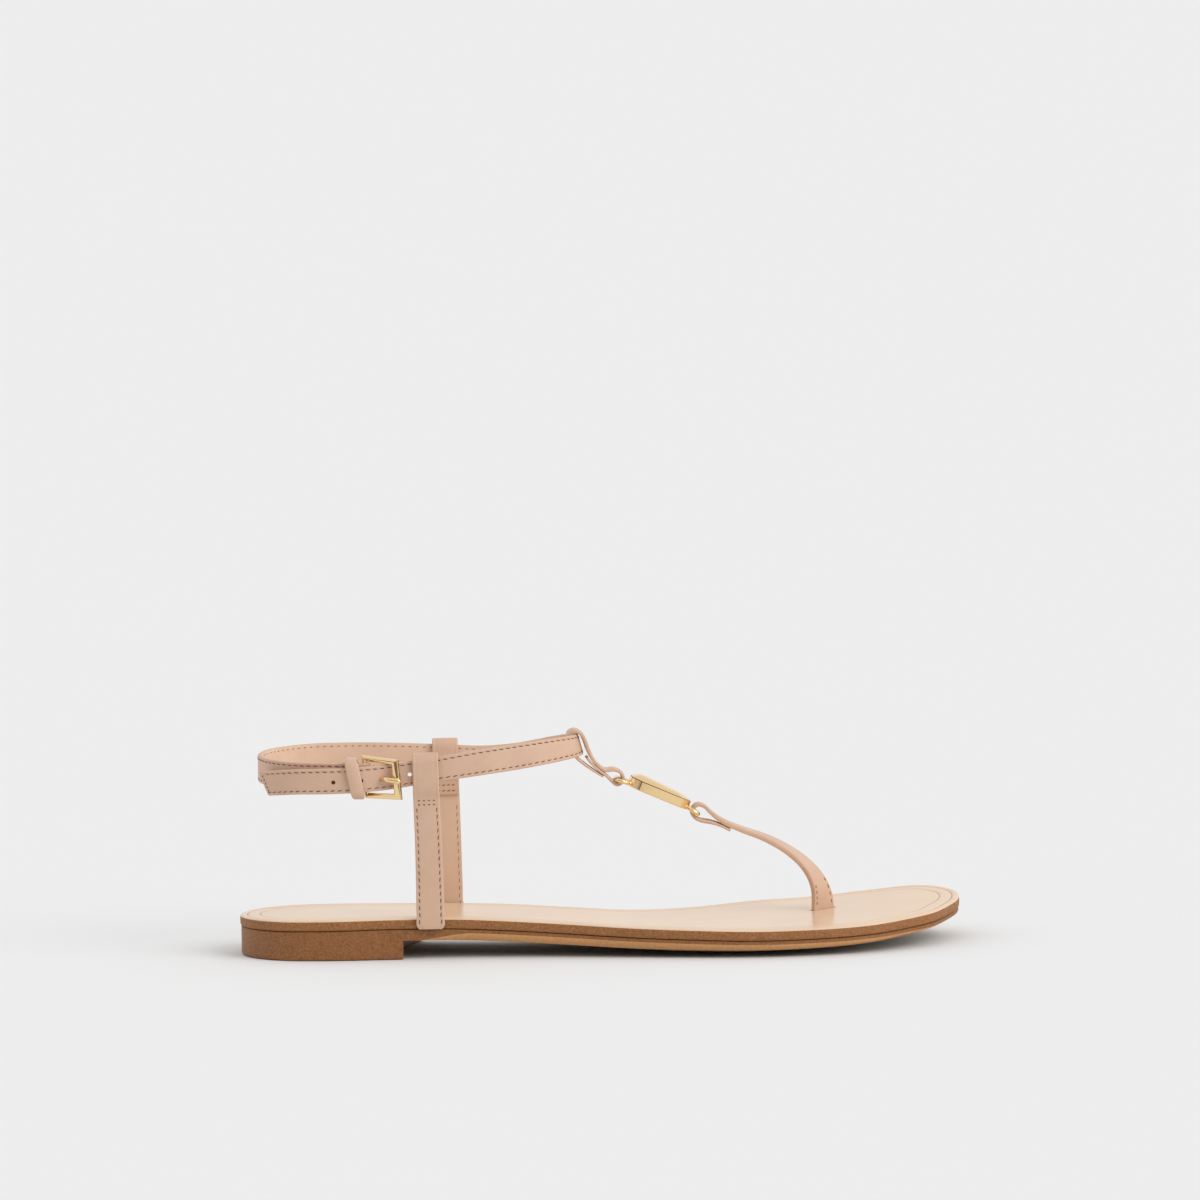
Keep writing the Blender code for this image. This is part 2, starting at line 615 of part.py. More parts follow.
def build_prong(material):
    """The prong: looped round the hinge bar, up through the tongue's hole, over the front bar."""
    thin = PRONG[0][3]
    ring = 0.75 + 0.15 + thin
    rows = [(HINGE_X + ring * math.cos(a), HINGE_Y + ring * math.sin(a), 0.0, thin)
            for a in np.radians([20, 60, 100, 140, 180, 220, 250, 270])]
    rows += PRONG
    path = [(row[0], row[1], PRONG_Z - row[2]) for row in rows]
    sides = 8
    sections = [[(row[3] * math.cos(2 * math.pi * k / sides),
                  row[3] * math.sin(2 * math.pi * k / sides)) for k in range(sides)]
                for row in rows]
    return sweep("buckle_prong", path, (0, 0, 1), [0.0] * len(path), sections, material)


def build_ornament(material):
    """The cast plate with chamfered corners and a wire loop at each end for the straps."""
    half, width = PLATE_LENGTH / 2, PLATE_WIDTH / 2
    end, side = width - PLATE_CORNER_Y, half - PLATE_CORNER_X
    shape = [(half, -end), (half, end), (side, width), (-side, width),
             (-half, end), (-half, -end), (-side, -width), (side, -width)]
    rim = PLATE_THICKNESS / 2
    levels = ((-rim, 0.3), (-rim + 0.3, 0.0), (rim, 0.0), (rim + 1.0, 1.7), (rim + 1.5, 3.6))
    vertices, faces = [], []
    for z, shrink in levels:
        for x, y in shape:
            rise = max(0.0, z - rim) * (1.0 - PLATE_FALL * x / half)
            vertices.append((x * (1 - shrink / half), y * (1 - shrink / width), min(z, rim) + rise))
    count = len(shape)
    for level in range(len(levels) - 1):
        a, b = level * count, (level + 1) * count
        faces += [(a + i, a + (i + 1) % count, b + (i + 1) % count, b + i) for i in range(count)]
    faces += [tuple(range(count)), tuple(range(4 * count, 5 * count))]
    body = make_object("ornament", [plate_point(v) for v in vertices], faces, material)
    for name, bar, side in (("rear_loop", REAR_BAR, -1.0), ("front_loop", FRONT_BAR, 1.0)):
        wire = build_wire_loop(name, bar, side, material)
        wire.hide_render = True
        wire.display_type = "WIRE"
        union = body.modifiers.new(name, "BOOLEAN")
        union.operation = "UNION"
        union.solver = "EXACT"
        union.object = wire
    return body


def plate_point(point):
    """The plate's own length, width and thickness to the sandal's millimetres."""
    x, y, z = point
    c, s = math.cos(PLATE_SLOPE), math.sin(PLATE_SLOPE)
    x, z = x * c - z * s, x * s + z * c
    c, s = math.cos(INSTEP_YAW), math.sin(INSTEP_YAW)
    return (PLATE_CENTRE[0] + x * c - y * s, PLATE_CENTRE[1] + x * s + y * c, PLATE_CENTRE[2] + z)


def build_wire_loop(name, bar, side, material):
    """A wire loop from the plate's end: legs that spread to a bar for the strap."""
    across = Vector((-math.sin(INSTEP_YAW), math.cos(INSTEP_YAW), 0))
    root = Vector(plate_point((side * (PLATE_LENGTH / 2 - 1.2), 0, -0.6)))
    bar = Vector(bar)
    run = (bar - root).normalized()
    path = [root - across * (LEG_HALF_WIDTH - 0.6),
            root + run * 1.4 - across * LEG_HALF_WIDTH,
            root + run * 2.8 - across * (BAR_HALF_WIDTH - 0.1),
            bar - run * 1.1 - across * BAR_HALF_WIDTH,
            bar - run * 0.3 - across * (BAR_HALF_WIDTH - 0.3),
            bar - across * (BAR_HALF_WIDTH - 1.1)]
    path += [p + across * (2 * (bar - p).dot(across)) for p in reversed(path)]
    sides = 8
    section = [(WIRE_RADIUS * math.cos(2 * math.pi * k / sides),
                WIRE_RADIUS * math.sin(2 * math.pi * k / sides)) for k in range(sides)]
    normal = run.cross(across)
    return sweep(name, [tuple(p) for p in path], tuple(normal), [0.0] * len(path),
                 [section] * len(path), material)


def build():
    clear_scene()
    strap = make_material("strap_leather", (0.62, 0.43, 0.31), 0.5)
    lining = make_material("insole_leather", (0.84, 0.70, 0.58), 0.35)
    rubber = make_material("sole_rubber", (0.31, 0.17, 0.08), 0.6)
    metal = make_material("gold_metal", (0.83, 0.62, 0.33), 0.2, 1.0)
    build_insole(lining)
    build_outsole(rubber)
    for name, place in POSTS.items():
        build_post(name, place, strap)
    build_ankle_strap(strap)
    build_keeper(strap)
    build_instep_strap(strap)
    build_thong(strap)
    build_buckle_frame(metal)
    build_prong(metal)
    build_ornament(metal)


build()
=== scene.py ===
import math

import bmesh
import bpy
import numpy as np
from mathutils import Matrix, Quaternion, Vector


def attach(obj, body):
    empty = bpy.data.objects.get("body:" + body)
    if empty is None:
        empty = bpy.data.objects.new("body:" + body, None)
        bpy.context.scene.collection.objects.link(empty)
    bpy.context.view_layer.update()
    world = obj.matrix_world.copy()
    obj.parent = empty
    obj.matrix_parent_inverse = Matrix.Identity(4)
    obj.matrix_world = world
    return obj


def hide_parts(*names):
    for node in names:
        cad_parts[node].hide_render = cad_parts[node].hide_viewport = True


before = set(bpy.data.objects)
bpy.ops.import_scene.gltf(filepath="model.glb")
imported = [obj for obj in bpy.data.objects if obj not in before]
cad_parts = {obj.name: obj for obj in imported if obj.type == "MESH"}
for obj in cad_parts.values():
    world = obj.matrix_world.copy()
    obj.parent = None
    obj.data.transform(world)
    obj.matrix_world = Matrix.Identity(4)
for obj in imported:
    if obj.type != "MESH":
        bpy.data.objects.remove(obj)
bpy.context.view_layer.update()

MM = 0.001

# Named sizes, in millimetres from the back of the heel, as in the part's own source.
LENGTH = 251.1
BOX_MIDDLE_Y = 2.05

# The sole.
HEEL_RADIUS = 27.0
INSOLE_THICKNESS = 3.55
SEAM_GAP = 0.3
OUTSOLE_INSET = 0.3
OUTSOLE_RIM = 0.25
SIDE_BAND = 1.2
EDGE_ROUND = 2.2
ROUND_START, ROUND_RUN, ROUND_LEAST = 60.0, 22.0, 0.02
BEVEL_START = 62.0
HEEL_TOP = 9.2
HEEL_CENTRE = (28.0, 0.0)
HEEL_GROWTH = 0.02
BREAST_X = 57.0
BREAST_SKEW = 0.13
BREAST_HOLLOW = 4.0
BREAST_GAP = 0.4
SLOT_HALF_LENGTH, SLOT_HALF_WIDTH, SLOT_FLOOR, SLOT_TOP = 5.0, 1.35, 8.9, 16.0

# The straps and what holds them.
STRAP_WIDTH = 9.2
STRAP_THICKNESS = 1.8
FOLD_THICKNESS = 1.3
FOLD_WIDTH = 9.0
FOLD_RADIUS = 1.65
EDGE_TURN = 0.55
CROWN = 0.06
GROOVE_DEPTH, GROOVE_WIDTH = 0.10, 0.28
PUCKER_DEPTH, PUCKER_WIDTH = 0.05, 0.5
HOLE_STATIONS = (33.8, 43.5, 50.6, 60.3)
HOLE_DROP, HOLE_RADIUS, HOLE_HALF_LENGTH = 0.35, 0.75, 2.2
TONGUE_SLANT = 0.48
SLANT_ROWS = 17
TONGUE_START, TONGUE_Y = 0.6, -20.0
INSTEP_YAW = math.radians(4.6)
INSTEP_ACROSS = (-math.sin(INSTEP_YAW), math.cos(INSTEP_YAW), 0)
INSTEP_X, INSTEP_Y = 119.0, 0.6
HINGE_X, HINGE_Y, HINGE_Z = 44.6, -27.0, 64.5
PRONG_Z = 63.9
PRONG_LOOP = 0.9

# The link plate and its wires.
PLATE_LENGTH, PLATE_WIDTH, PLATE_THICKNESS = 22.3, 12.0, 3.3
PLATE_CORNER_X, PLATE_CORNER_Y = 3.5, 2.7
PLATE_CENTRE = (146.75, 2.6, 53.4)
PLATE_SLOPE = math.radians(-23.8)
PLATE_FALL = 0.45
PLATE_BLUNT = 0.3
WIRE_RADIUS = 0.75
WIRE_CORNER = 1.2
WIRE_ROOT_INSET, WIRE_ROOT_Z = 1.2, -0.6
REAR_BAR = (131.8, 1.5, 58.75)
FRONT_BAR = (160.0, 3.8, 45.95)
BAR_HALF_WIDTH, LEG_HALF_WIDTH = 4.3, 3.2

# Stitches: the distance between two of them, their length, and how far they lie from the edge.
STITCH_PITCH = 2.5
STITCH_LENGTH = 1.4
STITCH_RADIUS = 0.2
STITCH_SIDES = 6
STITCH_SKEW = 0.2
STITCH_SINK, CROSS_SINK = 0.14, 0.03
CROSS_PITCH, CROSS_LENGTH = 1.55, 0.85
STITCH_INSET = 1.15

# Light and camera; both domes give a brightness at each height, from the ground (0) to the top (1).
STUDIO_TONE = (0.847, 0.847, 0.847, 1.0)
FLOOR_SIZE, FLOOR_DROP = 6.0, 0.0002
DOME_FRONT = ((0.0, 0.45), (0.06, 0.30), (0.16, 0.12), (0.34, 0.20), (0.5, 1.0), (1.0, 1.0))
DOME_BACK = ((0.0, 1.1), (0.4, 1.1), (0.6, 1.0), (1.0, 1.0))
DOME_TURN = (-0.75, -0.3)
DOME_STRENGTH = 0.82
SUN_STRENGTH, SUN_ANGLE, SUN_FROM = 1.3, 40.0, (1.0, -0.8, 0.75)
PHOTO_WIDTH = 1200.0
PIXELS_PER_METRE = 2870.0
SENSOR_WIDTH = 36.0
CAMERA_DISTANCE = 6.0
CAMERA_LIFT = math.radians(5.83)
CAMERA_ROLL = math.radians(-1.0)
CAMERA_AIM = (0.0018, 0.003, 0.1210)

# The insole's section, as inset and height: two pressed lines, the rounded rim, the board's edge.
INSOLE_PROFILE = (
    (7.6, 0.0), (7.3, -0.07), (7.1, -0.19), (6.95, -0.23), (6.8, -0.19), (6.6, -0.07), (6.3, 0.0),
    (3.1, 0.0), (2.85, -0.08), (2.65, -0.24), (2.5, -0.29), (2.35, -0.24), (2.15, -0.08), (1.9, 0.0),
    (0.85, 0.0), (0.5, -0.05), (0.22, -0.2), (0.06, -0.45), (0.0, -0.8), (-0.04, -1.6),
    (-0.02, -2.6), (0.05, -3.25), (0.25, -INSOLE_THICKNESS),
)
# The pressed lines' bottom bands take the darker groove colour, which is painted shade in the recess.
SHADED_GROOVE_INSETS = (7.1, 6.95, 2.65, 2.5)
EDGE_BAND = 17

# The heel block's rings, as height and inset.
HEEL_LEVELS = ((HEEL_TOP, 0.0), (1.2, 0.0), (0.45, 0.02), (0.12, 0.14), (0.0, 0.45))

# The sole's stations along x: y of its lateral and medial edge, the seat's height in the middle and
# its slope across, the depth of the outsole's side, and how far the underside bulges below it.
SOLE_COLUMNS = ("x", "lateral", "medial", "top", "roll", "edge", "belly")
SOLE = (
    (0.0, 0.0, 0.0, 13.65, -0.005, 3.9, 0.0),
    (34.0, -27.0, 27.0, 13.75, -0.008, 3.9, 0.0),
    (55.0, -27.0, 26.5, 13.8, -0.015, 3.9, 0.2),
    (73.0, -27.0, 25.2, 13.7, -0.015, 3.9, 0.6),
    (94.0, -28.0, 23.2, 13.0, -0.006, 3.9, 0.9),
    (115.0, -30.3, 23.7, 11.6, -0.011, 3.9, 1.3),
    (136.0, -34.2, 27.4, 10.1, -0.019, 3.75, 1.9),
    (157.0, -38.0, 34.8, 9.6, -0.011, 3.6, 2.9),
    (178.0, -40.3, 42.3, 9.84, 0.008, 3.35, 3.4),
    (199.0, -38.5, 44.6, 10.3, 0.018, 3.25, 2.9),
    (220.0, -31.5, 43.9, 11.4, 0.041, 2.85, 1.7),
    (240.0, -14.5, 38.2, 12.6, 0.069, 2.1, 0.7),
    (251.1, 17.0, 17.0, 12.7, 0.085, 1.5, 0.2),
)
TOE_OUTLINE = ((230.0, -24.3), (240.7, -13.6), (247.2, 0.0), (250.3, 9.5), (LENGTH, 17.0),
               (250.2, 24.5), (246.6, 31.3), (240.7, 37.6), (230.0, 42.6))

# The ankle strap: x, y, z, twist in degrees, width, thickness. First the end inside the buckle,
# then everything after the fold round its rear bar.
ANKLE_FOLD = (
    (31.5, -25.1, 64.5, 0, 8.6, 1.0),
    (37.5, -25.25, 64.5, 0, 8.6, 1.2),
    (42.8, -25.35, 64.5, 0, 8.4, FOLD_THICKNESS),
)
ANKLE_HEEL = (
    (42.8, -28.65, 64.5, 0, 8.4, FOLD_THICKNESS),
    (38.0, -28.3, 64.5, 0, 9.0, 1.4),
    (32.5, -27.35, 64.6, 0, STRAP_WIDTH, 1.6),
    (25.9, -25.4, 64.5, 0, 9.3, STRAP_THICKNESS),
    (16.0, -19.1, 64.5, 0, 9.4, STRAP_THICKNESS),
    (10.2, -10.5, 64.7, 0, 9.4, STRAP_THICKNESS),
    (8.0, 0.0, 64.9, 0, 9.4, STRAP_THICKNESS),
    (10.2, 10.5, 65.2, 0, 9.4, STRAP_THICKNESS),
    (16.0, 19.1, 65.4, 0, STRAP_WIDTH, STRAP_THICKNESS),
    (25.9, 25.4, 65.6, 0, STRAP_WIDTH, STRAP_THICKNESS),
    (35.1, 27.0, 65.6, 0, STRAP_WIDTH, STRAP_THICKNESS),
    (55.0, 27.0, 65.2, 0, STRAP_WIDTH, 1.6),
    (72.0, 26.7, 64.5, 0, 9.0, 1.4),
    (86.0, 25.2, 63.9, 2, STRAP_WIDTH, STRAP_THICKNESS),
    (98.0, 21.6, 65.1, 6, STRAP_WIDTH, STRAP_THICKNESS),
    (109.8, 15.7, 68.1, 11, 8.6, 1.7),
    (116.8, 9.1, 70.2, 15, 7.9, 1.4),
    (119.1, 0.5, 71.1, 15, 7.5, 1.4),
    (116.8, -8.1, 71.2, 14, 7.9, 1.4),
    (109.8, -14.7, 70.7, 10, 8.5, 1.6),
    (98.0, -21.0, 69.6, 6, 9.0, STRAP_THICKNESS),
    (83.0, -26.5, 68.1, 2, 9.0, STRAP_THICKNESS),
    (70.0, -28.6, 66.4, 0, 8.6, 1.4),
    (62.0, -28.7, 65.4, 0, 8.8, 1.5),
    (56.3, -29.0, 64.6, 0, 8.9, STRAP_THICKNESS),
    (50.4, -30.2, 64.0, 0, 8.9, STRAP_THICKNESS),
    (44.2, -31.0, 63.6, 0, 8.9, STRAP_THICKNESS),
    (38.0, -30.7, 63.2, 0, 8.9, STRAP_THICKNESS),
    (30.0, -29.9, 63.0, 0, 8.9, STRAP_THICKNESS),
    (21.0, -27.2, 62.7, 0, 8.8, STRAP_THICKNESS),
    (14.5, -22.6, 62.0, 0, 8.7, STRAP_THICKNESS),
    (9.9, -17.7, 61.3, 0, 8.6, STRAP_THICKNESS),
)

# A side post: distance outwards, share of its height, share of its shift (full at
# POST_TOP_SHIFT), width, thickness. Each post has its foot, its top and its shift along the sole.
POST_BASE_Z = 10.6
POST_TOP_SHIFT = 0.6
POST = (
    (-0.3, 0.0, 0.0, 8.2, 1.0),
    (-0.29, 0.012, 0.0, 9.3, 1.2),
    (-0.25, 0.07, 0.0, 9.6, 1.5),
    (-0.2, 0.28, 0.05, 9.5, 1.7),
    (0.0, 0.52, 0.2, 9.3, 1.7),
    (0.3, 0.69, 0.4, 9.2, 1.6),
    (0.85, 0.75, 0.45, 9.2, 1.4),
    (2.1, 0.81, 0.5, 9.1, 1.4),
    (2.15, 0.92, 0.55, 9.1, 1.4),
    (2.05, 0.970, 0.6, 9.0, 1.3),
    (1.1, 0.993, 0.6, 9.0, 1.2),
    (0.0, 1.0, 0.6, 9.0, 1.2),
    (-1.1, 0.993, 0.6, 9.0, 1.2),
    (-2.05, 0.970, 0.6, 9.0, 1.3),
    (-2.15, 0.92, 0.55, 9.1, 1.4),
    (-2.1, 0.81, 0.5, 9.1, 1.4),
    (-0.95, 0.755, 0.45, 9.1, 1.2),
    (-1.05, 0.72, 0.4, 9.1, 1.0),
    (-1.2, 0.68, 0.4, 9.1, 0.9),
)
POSTS = {
    "lateral_post": {"x": 66.6, "y": -28.55, "top": 71.8, "out": -1.0, "shift": -0.85},
    "medial_post": {"x": 72.7, "y": 26.8, "top": 70.7, "out": 1.0, "shift": -0.5},
}

# The instep strap: x, z, width, thickness. The thong: x, y, z, twist, width, thickness.
INSTEP = (
    (127.2, 59.75, 6.8, 0.7),
    (124.1, 61.75, 7.6, 0.85),
    (120.8, 64.2, 8.0, 1.0),
    (117.8, 66.9, 8.0, 1.1),
    (116.2, 70.1, 8.0, 1.2),
    (115.4, 73.3, 8.0, 1.2),
    (115.6, 75.0, 8.0, 1.25),
    (117.3, 76.0, 8.0, 1.3),
    (119.4, 75.3, 8.0, 1.3),
    (121.1, 72.5, 8.0, 1.3),
    (122.2, 69.3, 8.0, 1.3),
    (124.5, 64.95, 7.9, 1.2),
    (128.2, 61.95, 7.4, 1.2),
    (131.2, 62.05, 6.6, 1.2),
    (133.5, 60.9, 6.3, 1.2),
    (134.2, 59.2, 6.2, 1.2),
    (133.6, 57.5, 6.2, 1.2),
    (132.0, 56.75, 6.2, 1.2),
    (130.3, 58.0, 6.3, 1.2),
    (128.4, 59.9, 6.9, 1.0),
    (125.7, 62.05, 7.8, 0.95),
    (122.9, 64.85, 7.9, 0.95),
    (121.7, 66.6, 7.9, 0.95),
)
THONG = (
    (171.2, 4.8, 39.75, 0, 8.0, 0.95),
    (167.6, 4.6, 41.6, 0, 7.6, 1.0),
    (164.4, 4.3, 42.7, 0, 7.4, 1.2),
    (161.0, 4.0, 43.4, 0, 6.6, 1.2),
    (159.0, 3.8, 44.45, 0, 6.3, 1.2),
    (158.05, 3.7, 46.1, 0, 6.2, 1.2),
    (158.6, 3.75, 47.9, 0, 6.2, 1.2),
    (160.1, 3.9, 49.0, 0, 6.3, 1.2),
    (162.2, 4.1, 48.4, 0, 6.8, 1.2),
    (164.4, 4.3, 46.3, 0, 7.4, 1.4),
    (166.8, 4.45, 44.2, 0, 7.9, 1.6),
    (169.8, 4.7, 42.3, 0, 8.1, 1.7),
    (174.0, 5.1, 40.35, 0, 8.3, 1.8),
    (184.0, 6.3, 36.3, 4, 8.6, 1.9),
    (191.4, 7.3, 32.0, 10, 8.8, 1.9),
    (197.0, 8.3, 27.2, 18, 9.0, 1.9),
    (200.6, 9.0, 22.4, 30, 9.0, 1.9),
    (202.5, 9.6, 18.0, 43, 9.0, 1.9),
    (203.2, 9.9, 14.2, 53, 9.0, 1.9),
    (203.3, 10.0, 9.6, 57, 9.2, 1.9),
)

# The buckle's corners, the width and depth of the bar that follows each, and the bars' section.
BUCKLE_CORNERS = ((55.2, -32.0, 69.45), (56.35, -32.0, 57.45), (45.7, -27.15, 57.6),
                  (44.6, -27.15, 70.6))
BUCKLE_WIDTHS = (2.6, 1.9, 1.4, 1.9)
BUCKLE_DEPTHS = (1.0, 1.0, 0.75, 0.75)
BUCKLE_SECTION = ((-0.86, -0.85), (-1.0, -0.7), (-1.0, 0.25), (-0.86, 0.5), (-0.3, 0.9),
                  (-0.12, 0.96), (0.12, 0.96), (0.3, 0.9), (0.86, 0.5), (1.0, 0.25), (1.0, -0.7),
                  (0.86, -0.85))
# The prong after its loop: x, y, drop below its height, radius.
PRONG = (
    (47.6, -28.45, 0.0, 0.6),
    (50.05, -28.55, 0.0, 0.6),
    (50.45, -29.1, 0.1, 0.7),
    (50.6, -31.2, 0.15, 0.72),
    (51.5, -32.5, 0.1, 0.85),
    (53.0, -33.75, 0.35, 0.95),
    (54.8, -34.25, 0.6, 0.95),
    (56.9, -34.25, 0.95, 0.85),
    (57.3, -34.2, 1.0, 0.4),
)
PRONG_ANGLES = (20, 60, 100, 140, 180, 220, 250, 270)
KEEPER_WIDTH, KEEPER_THICKNESS = 4.8, 1.1
KEEPER_INNER_Y, KEEPER_OUTER_Y = -23.75, -32.65
KEEPER_LOW_Z, KEEPER_HIGH_Z = 57.1, 70.35
KEEPER_X, KEEPER_SLANT = 41.2, -0.2
KEEPER_CORNER = 2.6
KEEPER_TURN, KEEPER_BULGE, KEEPER_PINCH = 3.0, 0.3, 0.16

# The plate's dome above its side wall, as inset and height, and its bands painted dark as the shade in
# the seam.
PLATE_DOME = ((0.08, 0.0), (0.3, 0.14), (0.8, 0.48), (1.3, 0.76), (1.8, 1.0), (2.4, 1.2),
              (3.0, 1.36), (3.6, 1.48), (4.4, 1.56), (5.2, 1.58))
SHADED_SEAM_BANDS = (2, 3)

# One stitch along its length: share of the length, share of the radius, lift.
STITCH_PROFILE = ((-0.5, 0.35, -0.20), (-0.42, 0.8, -0.06), (-0.2, 1.0, 0.03), (0.2, 1.0, 0.03),
                  (0.42, 0.8, -0.06), (0.5, 0.35, -0.20))
# The sides of a strap's section that show its lining.
LINING_SIDES = range(17, 22)


def srgb(r, g, b):
    def line(c):
        c /= 255.0
        return c / 12.92 if c <= 0.04045 else ((c + 0.055) / 1.055) ** 2.4
    return (line(r), line(g), line(b), 1.0)


def to_frame(points):
    """Millimetres from the heel's back to metres in the row frame."""
    return (np.asarray(points, float) - np.array([LENGTH / 2.0, BOX_MIDDLE_Y, 0.0])) * MM


def unit(vectors):
    vectors = np.asarray(vectors, float)
    return vectors / np.linalg.norm(vectors, axis=-1, keepdims=True)


def run_length(points):
    """The length walked along a path, at each of its points."""
    return np.concatenate([[0.0], np.cumsum(np.linalg.norm(np.diff(points, axis=0), axis=1))])


def at_run(place, run, values):
    """Each column of the values, read at one run length."""
    return np.array([np.interp(place, run, values[:, c]) for c in range(values.shape[1])])


def circle(radius, sides):
    angles = 2.0 * math.pi * np.arange(sides) / sides
    return np.column_stack([radius * np.cos(angles), radius * np.sin(angles)])


def bridge(rings, count, closed=False):
    """Quads from each ring of count points to the next one."""
    first = np.arange(rings if closed else rings - 1)[:, None]
    a, b = first * count, (first + 1) % rings * count
    k = np.arange(count)
    after = (k + 1) % count
    return np.stack([a + k, a + after, b + after, b + k], axis=-1).reshape(-1, 4).tolist()


def hermite(knots, values, where):
    """A smooth curve through the values, without overshoot between unequal knots."""
    knots = np.asarray(knots, float)
    values = np.asarray(values, float)
    chords = np.diff(values, axis=0) / np.diff(knots)[:, None]
    slopes = np.empty_like(values)
    slopes[0], slopes[-1] = chords[0], chords[-1]
    before, after = np.diff(knots)[:-1, None], np.diff(knots)[1:, None]
    slopes[1:-1] = (chords[:-1] * after + chords[1:] * before) / (before + after)
    where = np.clip(np.asarray(where, float), knots[0], knots[-1])
    i = np.clip(np.searchsorted(knots, where, side="right") - 1, 0, len(knots) - 2)
    span = (knots[i + 1] - knots[i])[:, None]
    t = (where - knots[i])[:, None] / span
    return ((1 + 2 * t) * (1 - t) ** 2 * values[i] + t * (1 - t) ** 2 * span * slopes[i]
            + t * t * (3 - 2 * t) * values[i + 1] + t * t * (t - 1) * span * slopes[i + 1])


def along(rows, step):
    """Rows of x, y, z and more, at even steps along the smooth path through the given ones."""
    rows = np.asarray(rows, float)
    knots = run_length(rows[:, :3])
    dense = hermite(knots, rows, np.linspace(0.0, knots[-1], 6000))
    run = run_length(dense[:, :3])
    even = np.linspace(0.0, run[-1], max(2, round(run[-1] / step) + 1))
    return np.column_stack([np.interp(even, run, dense[:, c]) for c in range(rows.shape[1])])


def link(item):
    bpy.context.scene.collection.objects.link(item)


def bare_mesh(name, vertices, faces):
    """A mesh from points in millimetres, with all its faces turned outwards."""
    mesh = bpy.data.meshes.new(name)
    mesh.from_pydata(to_frame(vertices).tolist(), [], faces)
    shell = bmesh.new()
    shell.from_mesh(mesh)
    bmesh.ops.recalc_face_normals(shell, faces=shell.faces)
    shell.to_mesh(mesh)
    shell.free()
    return mesh


def finish_mesh(name, vertices, faces, materials, nodes, paint=None, sharp=35.0):
    """A piece of the model, riding on the root body."""
    mesh = bare_mesh(name, vertices, faces)
    for key in materials:
        mesh.materials.append(MATERIALS[key])
    if paint is not None:
        mesh.polygons.foreach_set("material_index", np.asarray(paint, dtype=np.int32))
    mesh.shade_smooth()
    mesh.set_sharp_from_angle(angle=math.radians(sharp))
    item = bpy.data.objects.new(name, mesh)
    link(item)
    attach(item, "root")
    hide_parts(*nodes)
    return item


def cut(target, name, vertices, faces):
    """Takes a closed cutter, given in millimetres, out of the target's mesh."""
    cutter = bpy.data.objects.new(name, bare_mesh(name, vertices, faces))
    link(cutter)
    modifier = target.modifiers.new(name, "BOOLEAN")
    modifier.operation = "DIFFERENCE"
    modifier.solver = "EXACT"
    modifier.object = cutter
    graph = bpy.context.evaluated_depsgraph_get()
    result = bpy.data.meshes.new_from_object(target.evaluated_get(graph))
    target.modifiers.remove(modifier)
    target.data = result
    bpy.data.objects.remove(cutter, do_unlink=True)


def sole_column(name, x):
    table = np.array(SOLE)
    return hermite(table[:, 0], table[:, [SOLE_COLUMNS.index(name)]], np.atleast_1d(x))[:, 0]


def seat(x, y):
    return sole_column("top", x) + sole_column("roll", x) * y


def outline(count):
    """Points round the insole's edge: the lateral side to the toe's tip, the medial side back."""
    arc = [math.radians(a) for a in (22.5, 45.0, 67.5, 90.0)]
    heel = [(HEEL_RADIUS * (1 - math.cos(a)), HEEL_RADIUS * math.sin(a)) for a in arc]
    middle = [row for row in SOLE if 34.0 < row[0] < 225.0]
    tip = TOE_OUTLINE.index((LENGTH, 17.0))
    lateral = [(x, -y) for x, y in heel] + [(row[0], row[1]) for row in middle]
    medial = heel + [(row[0], row[2]) for row in middle]
    half_lateral = lateral + list(TOE_OUTLINE[:tip])
    half_medial = medial + list(TOE_OUTLINE[:tip:-1])
    loop = [(0.0, 0.0)] + half_lateral + [TOE_OUTLINE[tip]] + half_medial[::-1]
    closed = np.array(loop[-4:] + loop + loop[:5], float)
    knots = run_length(closed)
    start, toe, end = knots[4], knots[5 + len(half_lateral)], knots[4 + len(loop)]
    sides = []
    for low, high in ((start, toe), (toe, end)):
        dense = hermite(knots, closed, np.linspace(low, high, 6000))
        run = run_length(dense)
        even = np.linspace(0.0, run[-1], count // 2 + 1)[:-1]
        sides.append(np.column_stack([np.interp(even, run, dense[:, c]) for c in (0, 1)]))
    return np.vstack(sides)


def inset(points, distance):
    tangent = unit(np.roll(points, -1, axis=0) - np.roll(points, 1, axis=0))
    inward = np.column_stack([-tangent[:, 1], tangent[:, 0]])
    return points + inward * np.atleast_1d(distance)[:, None]


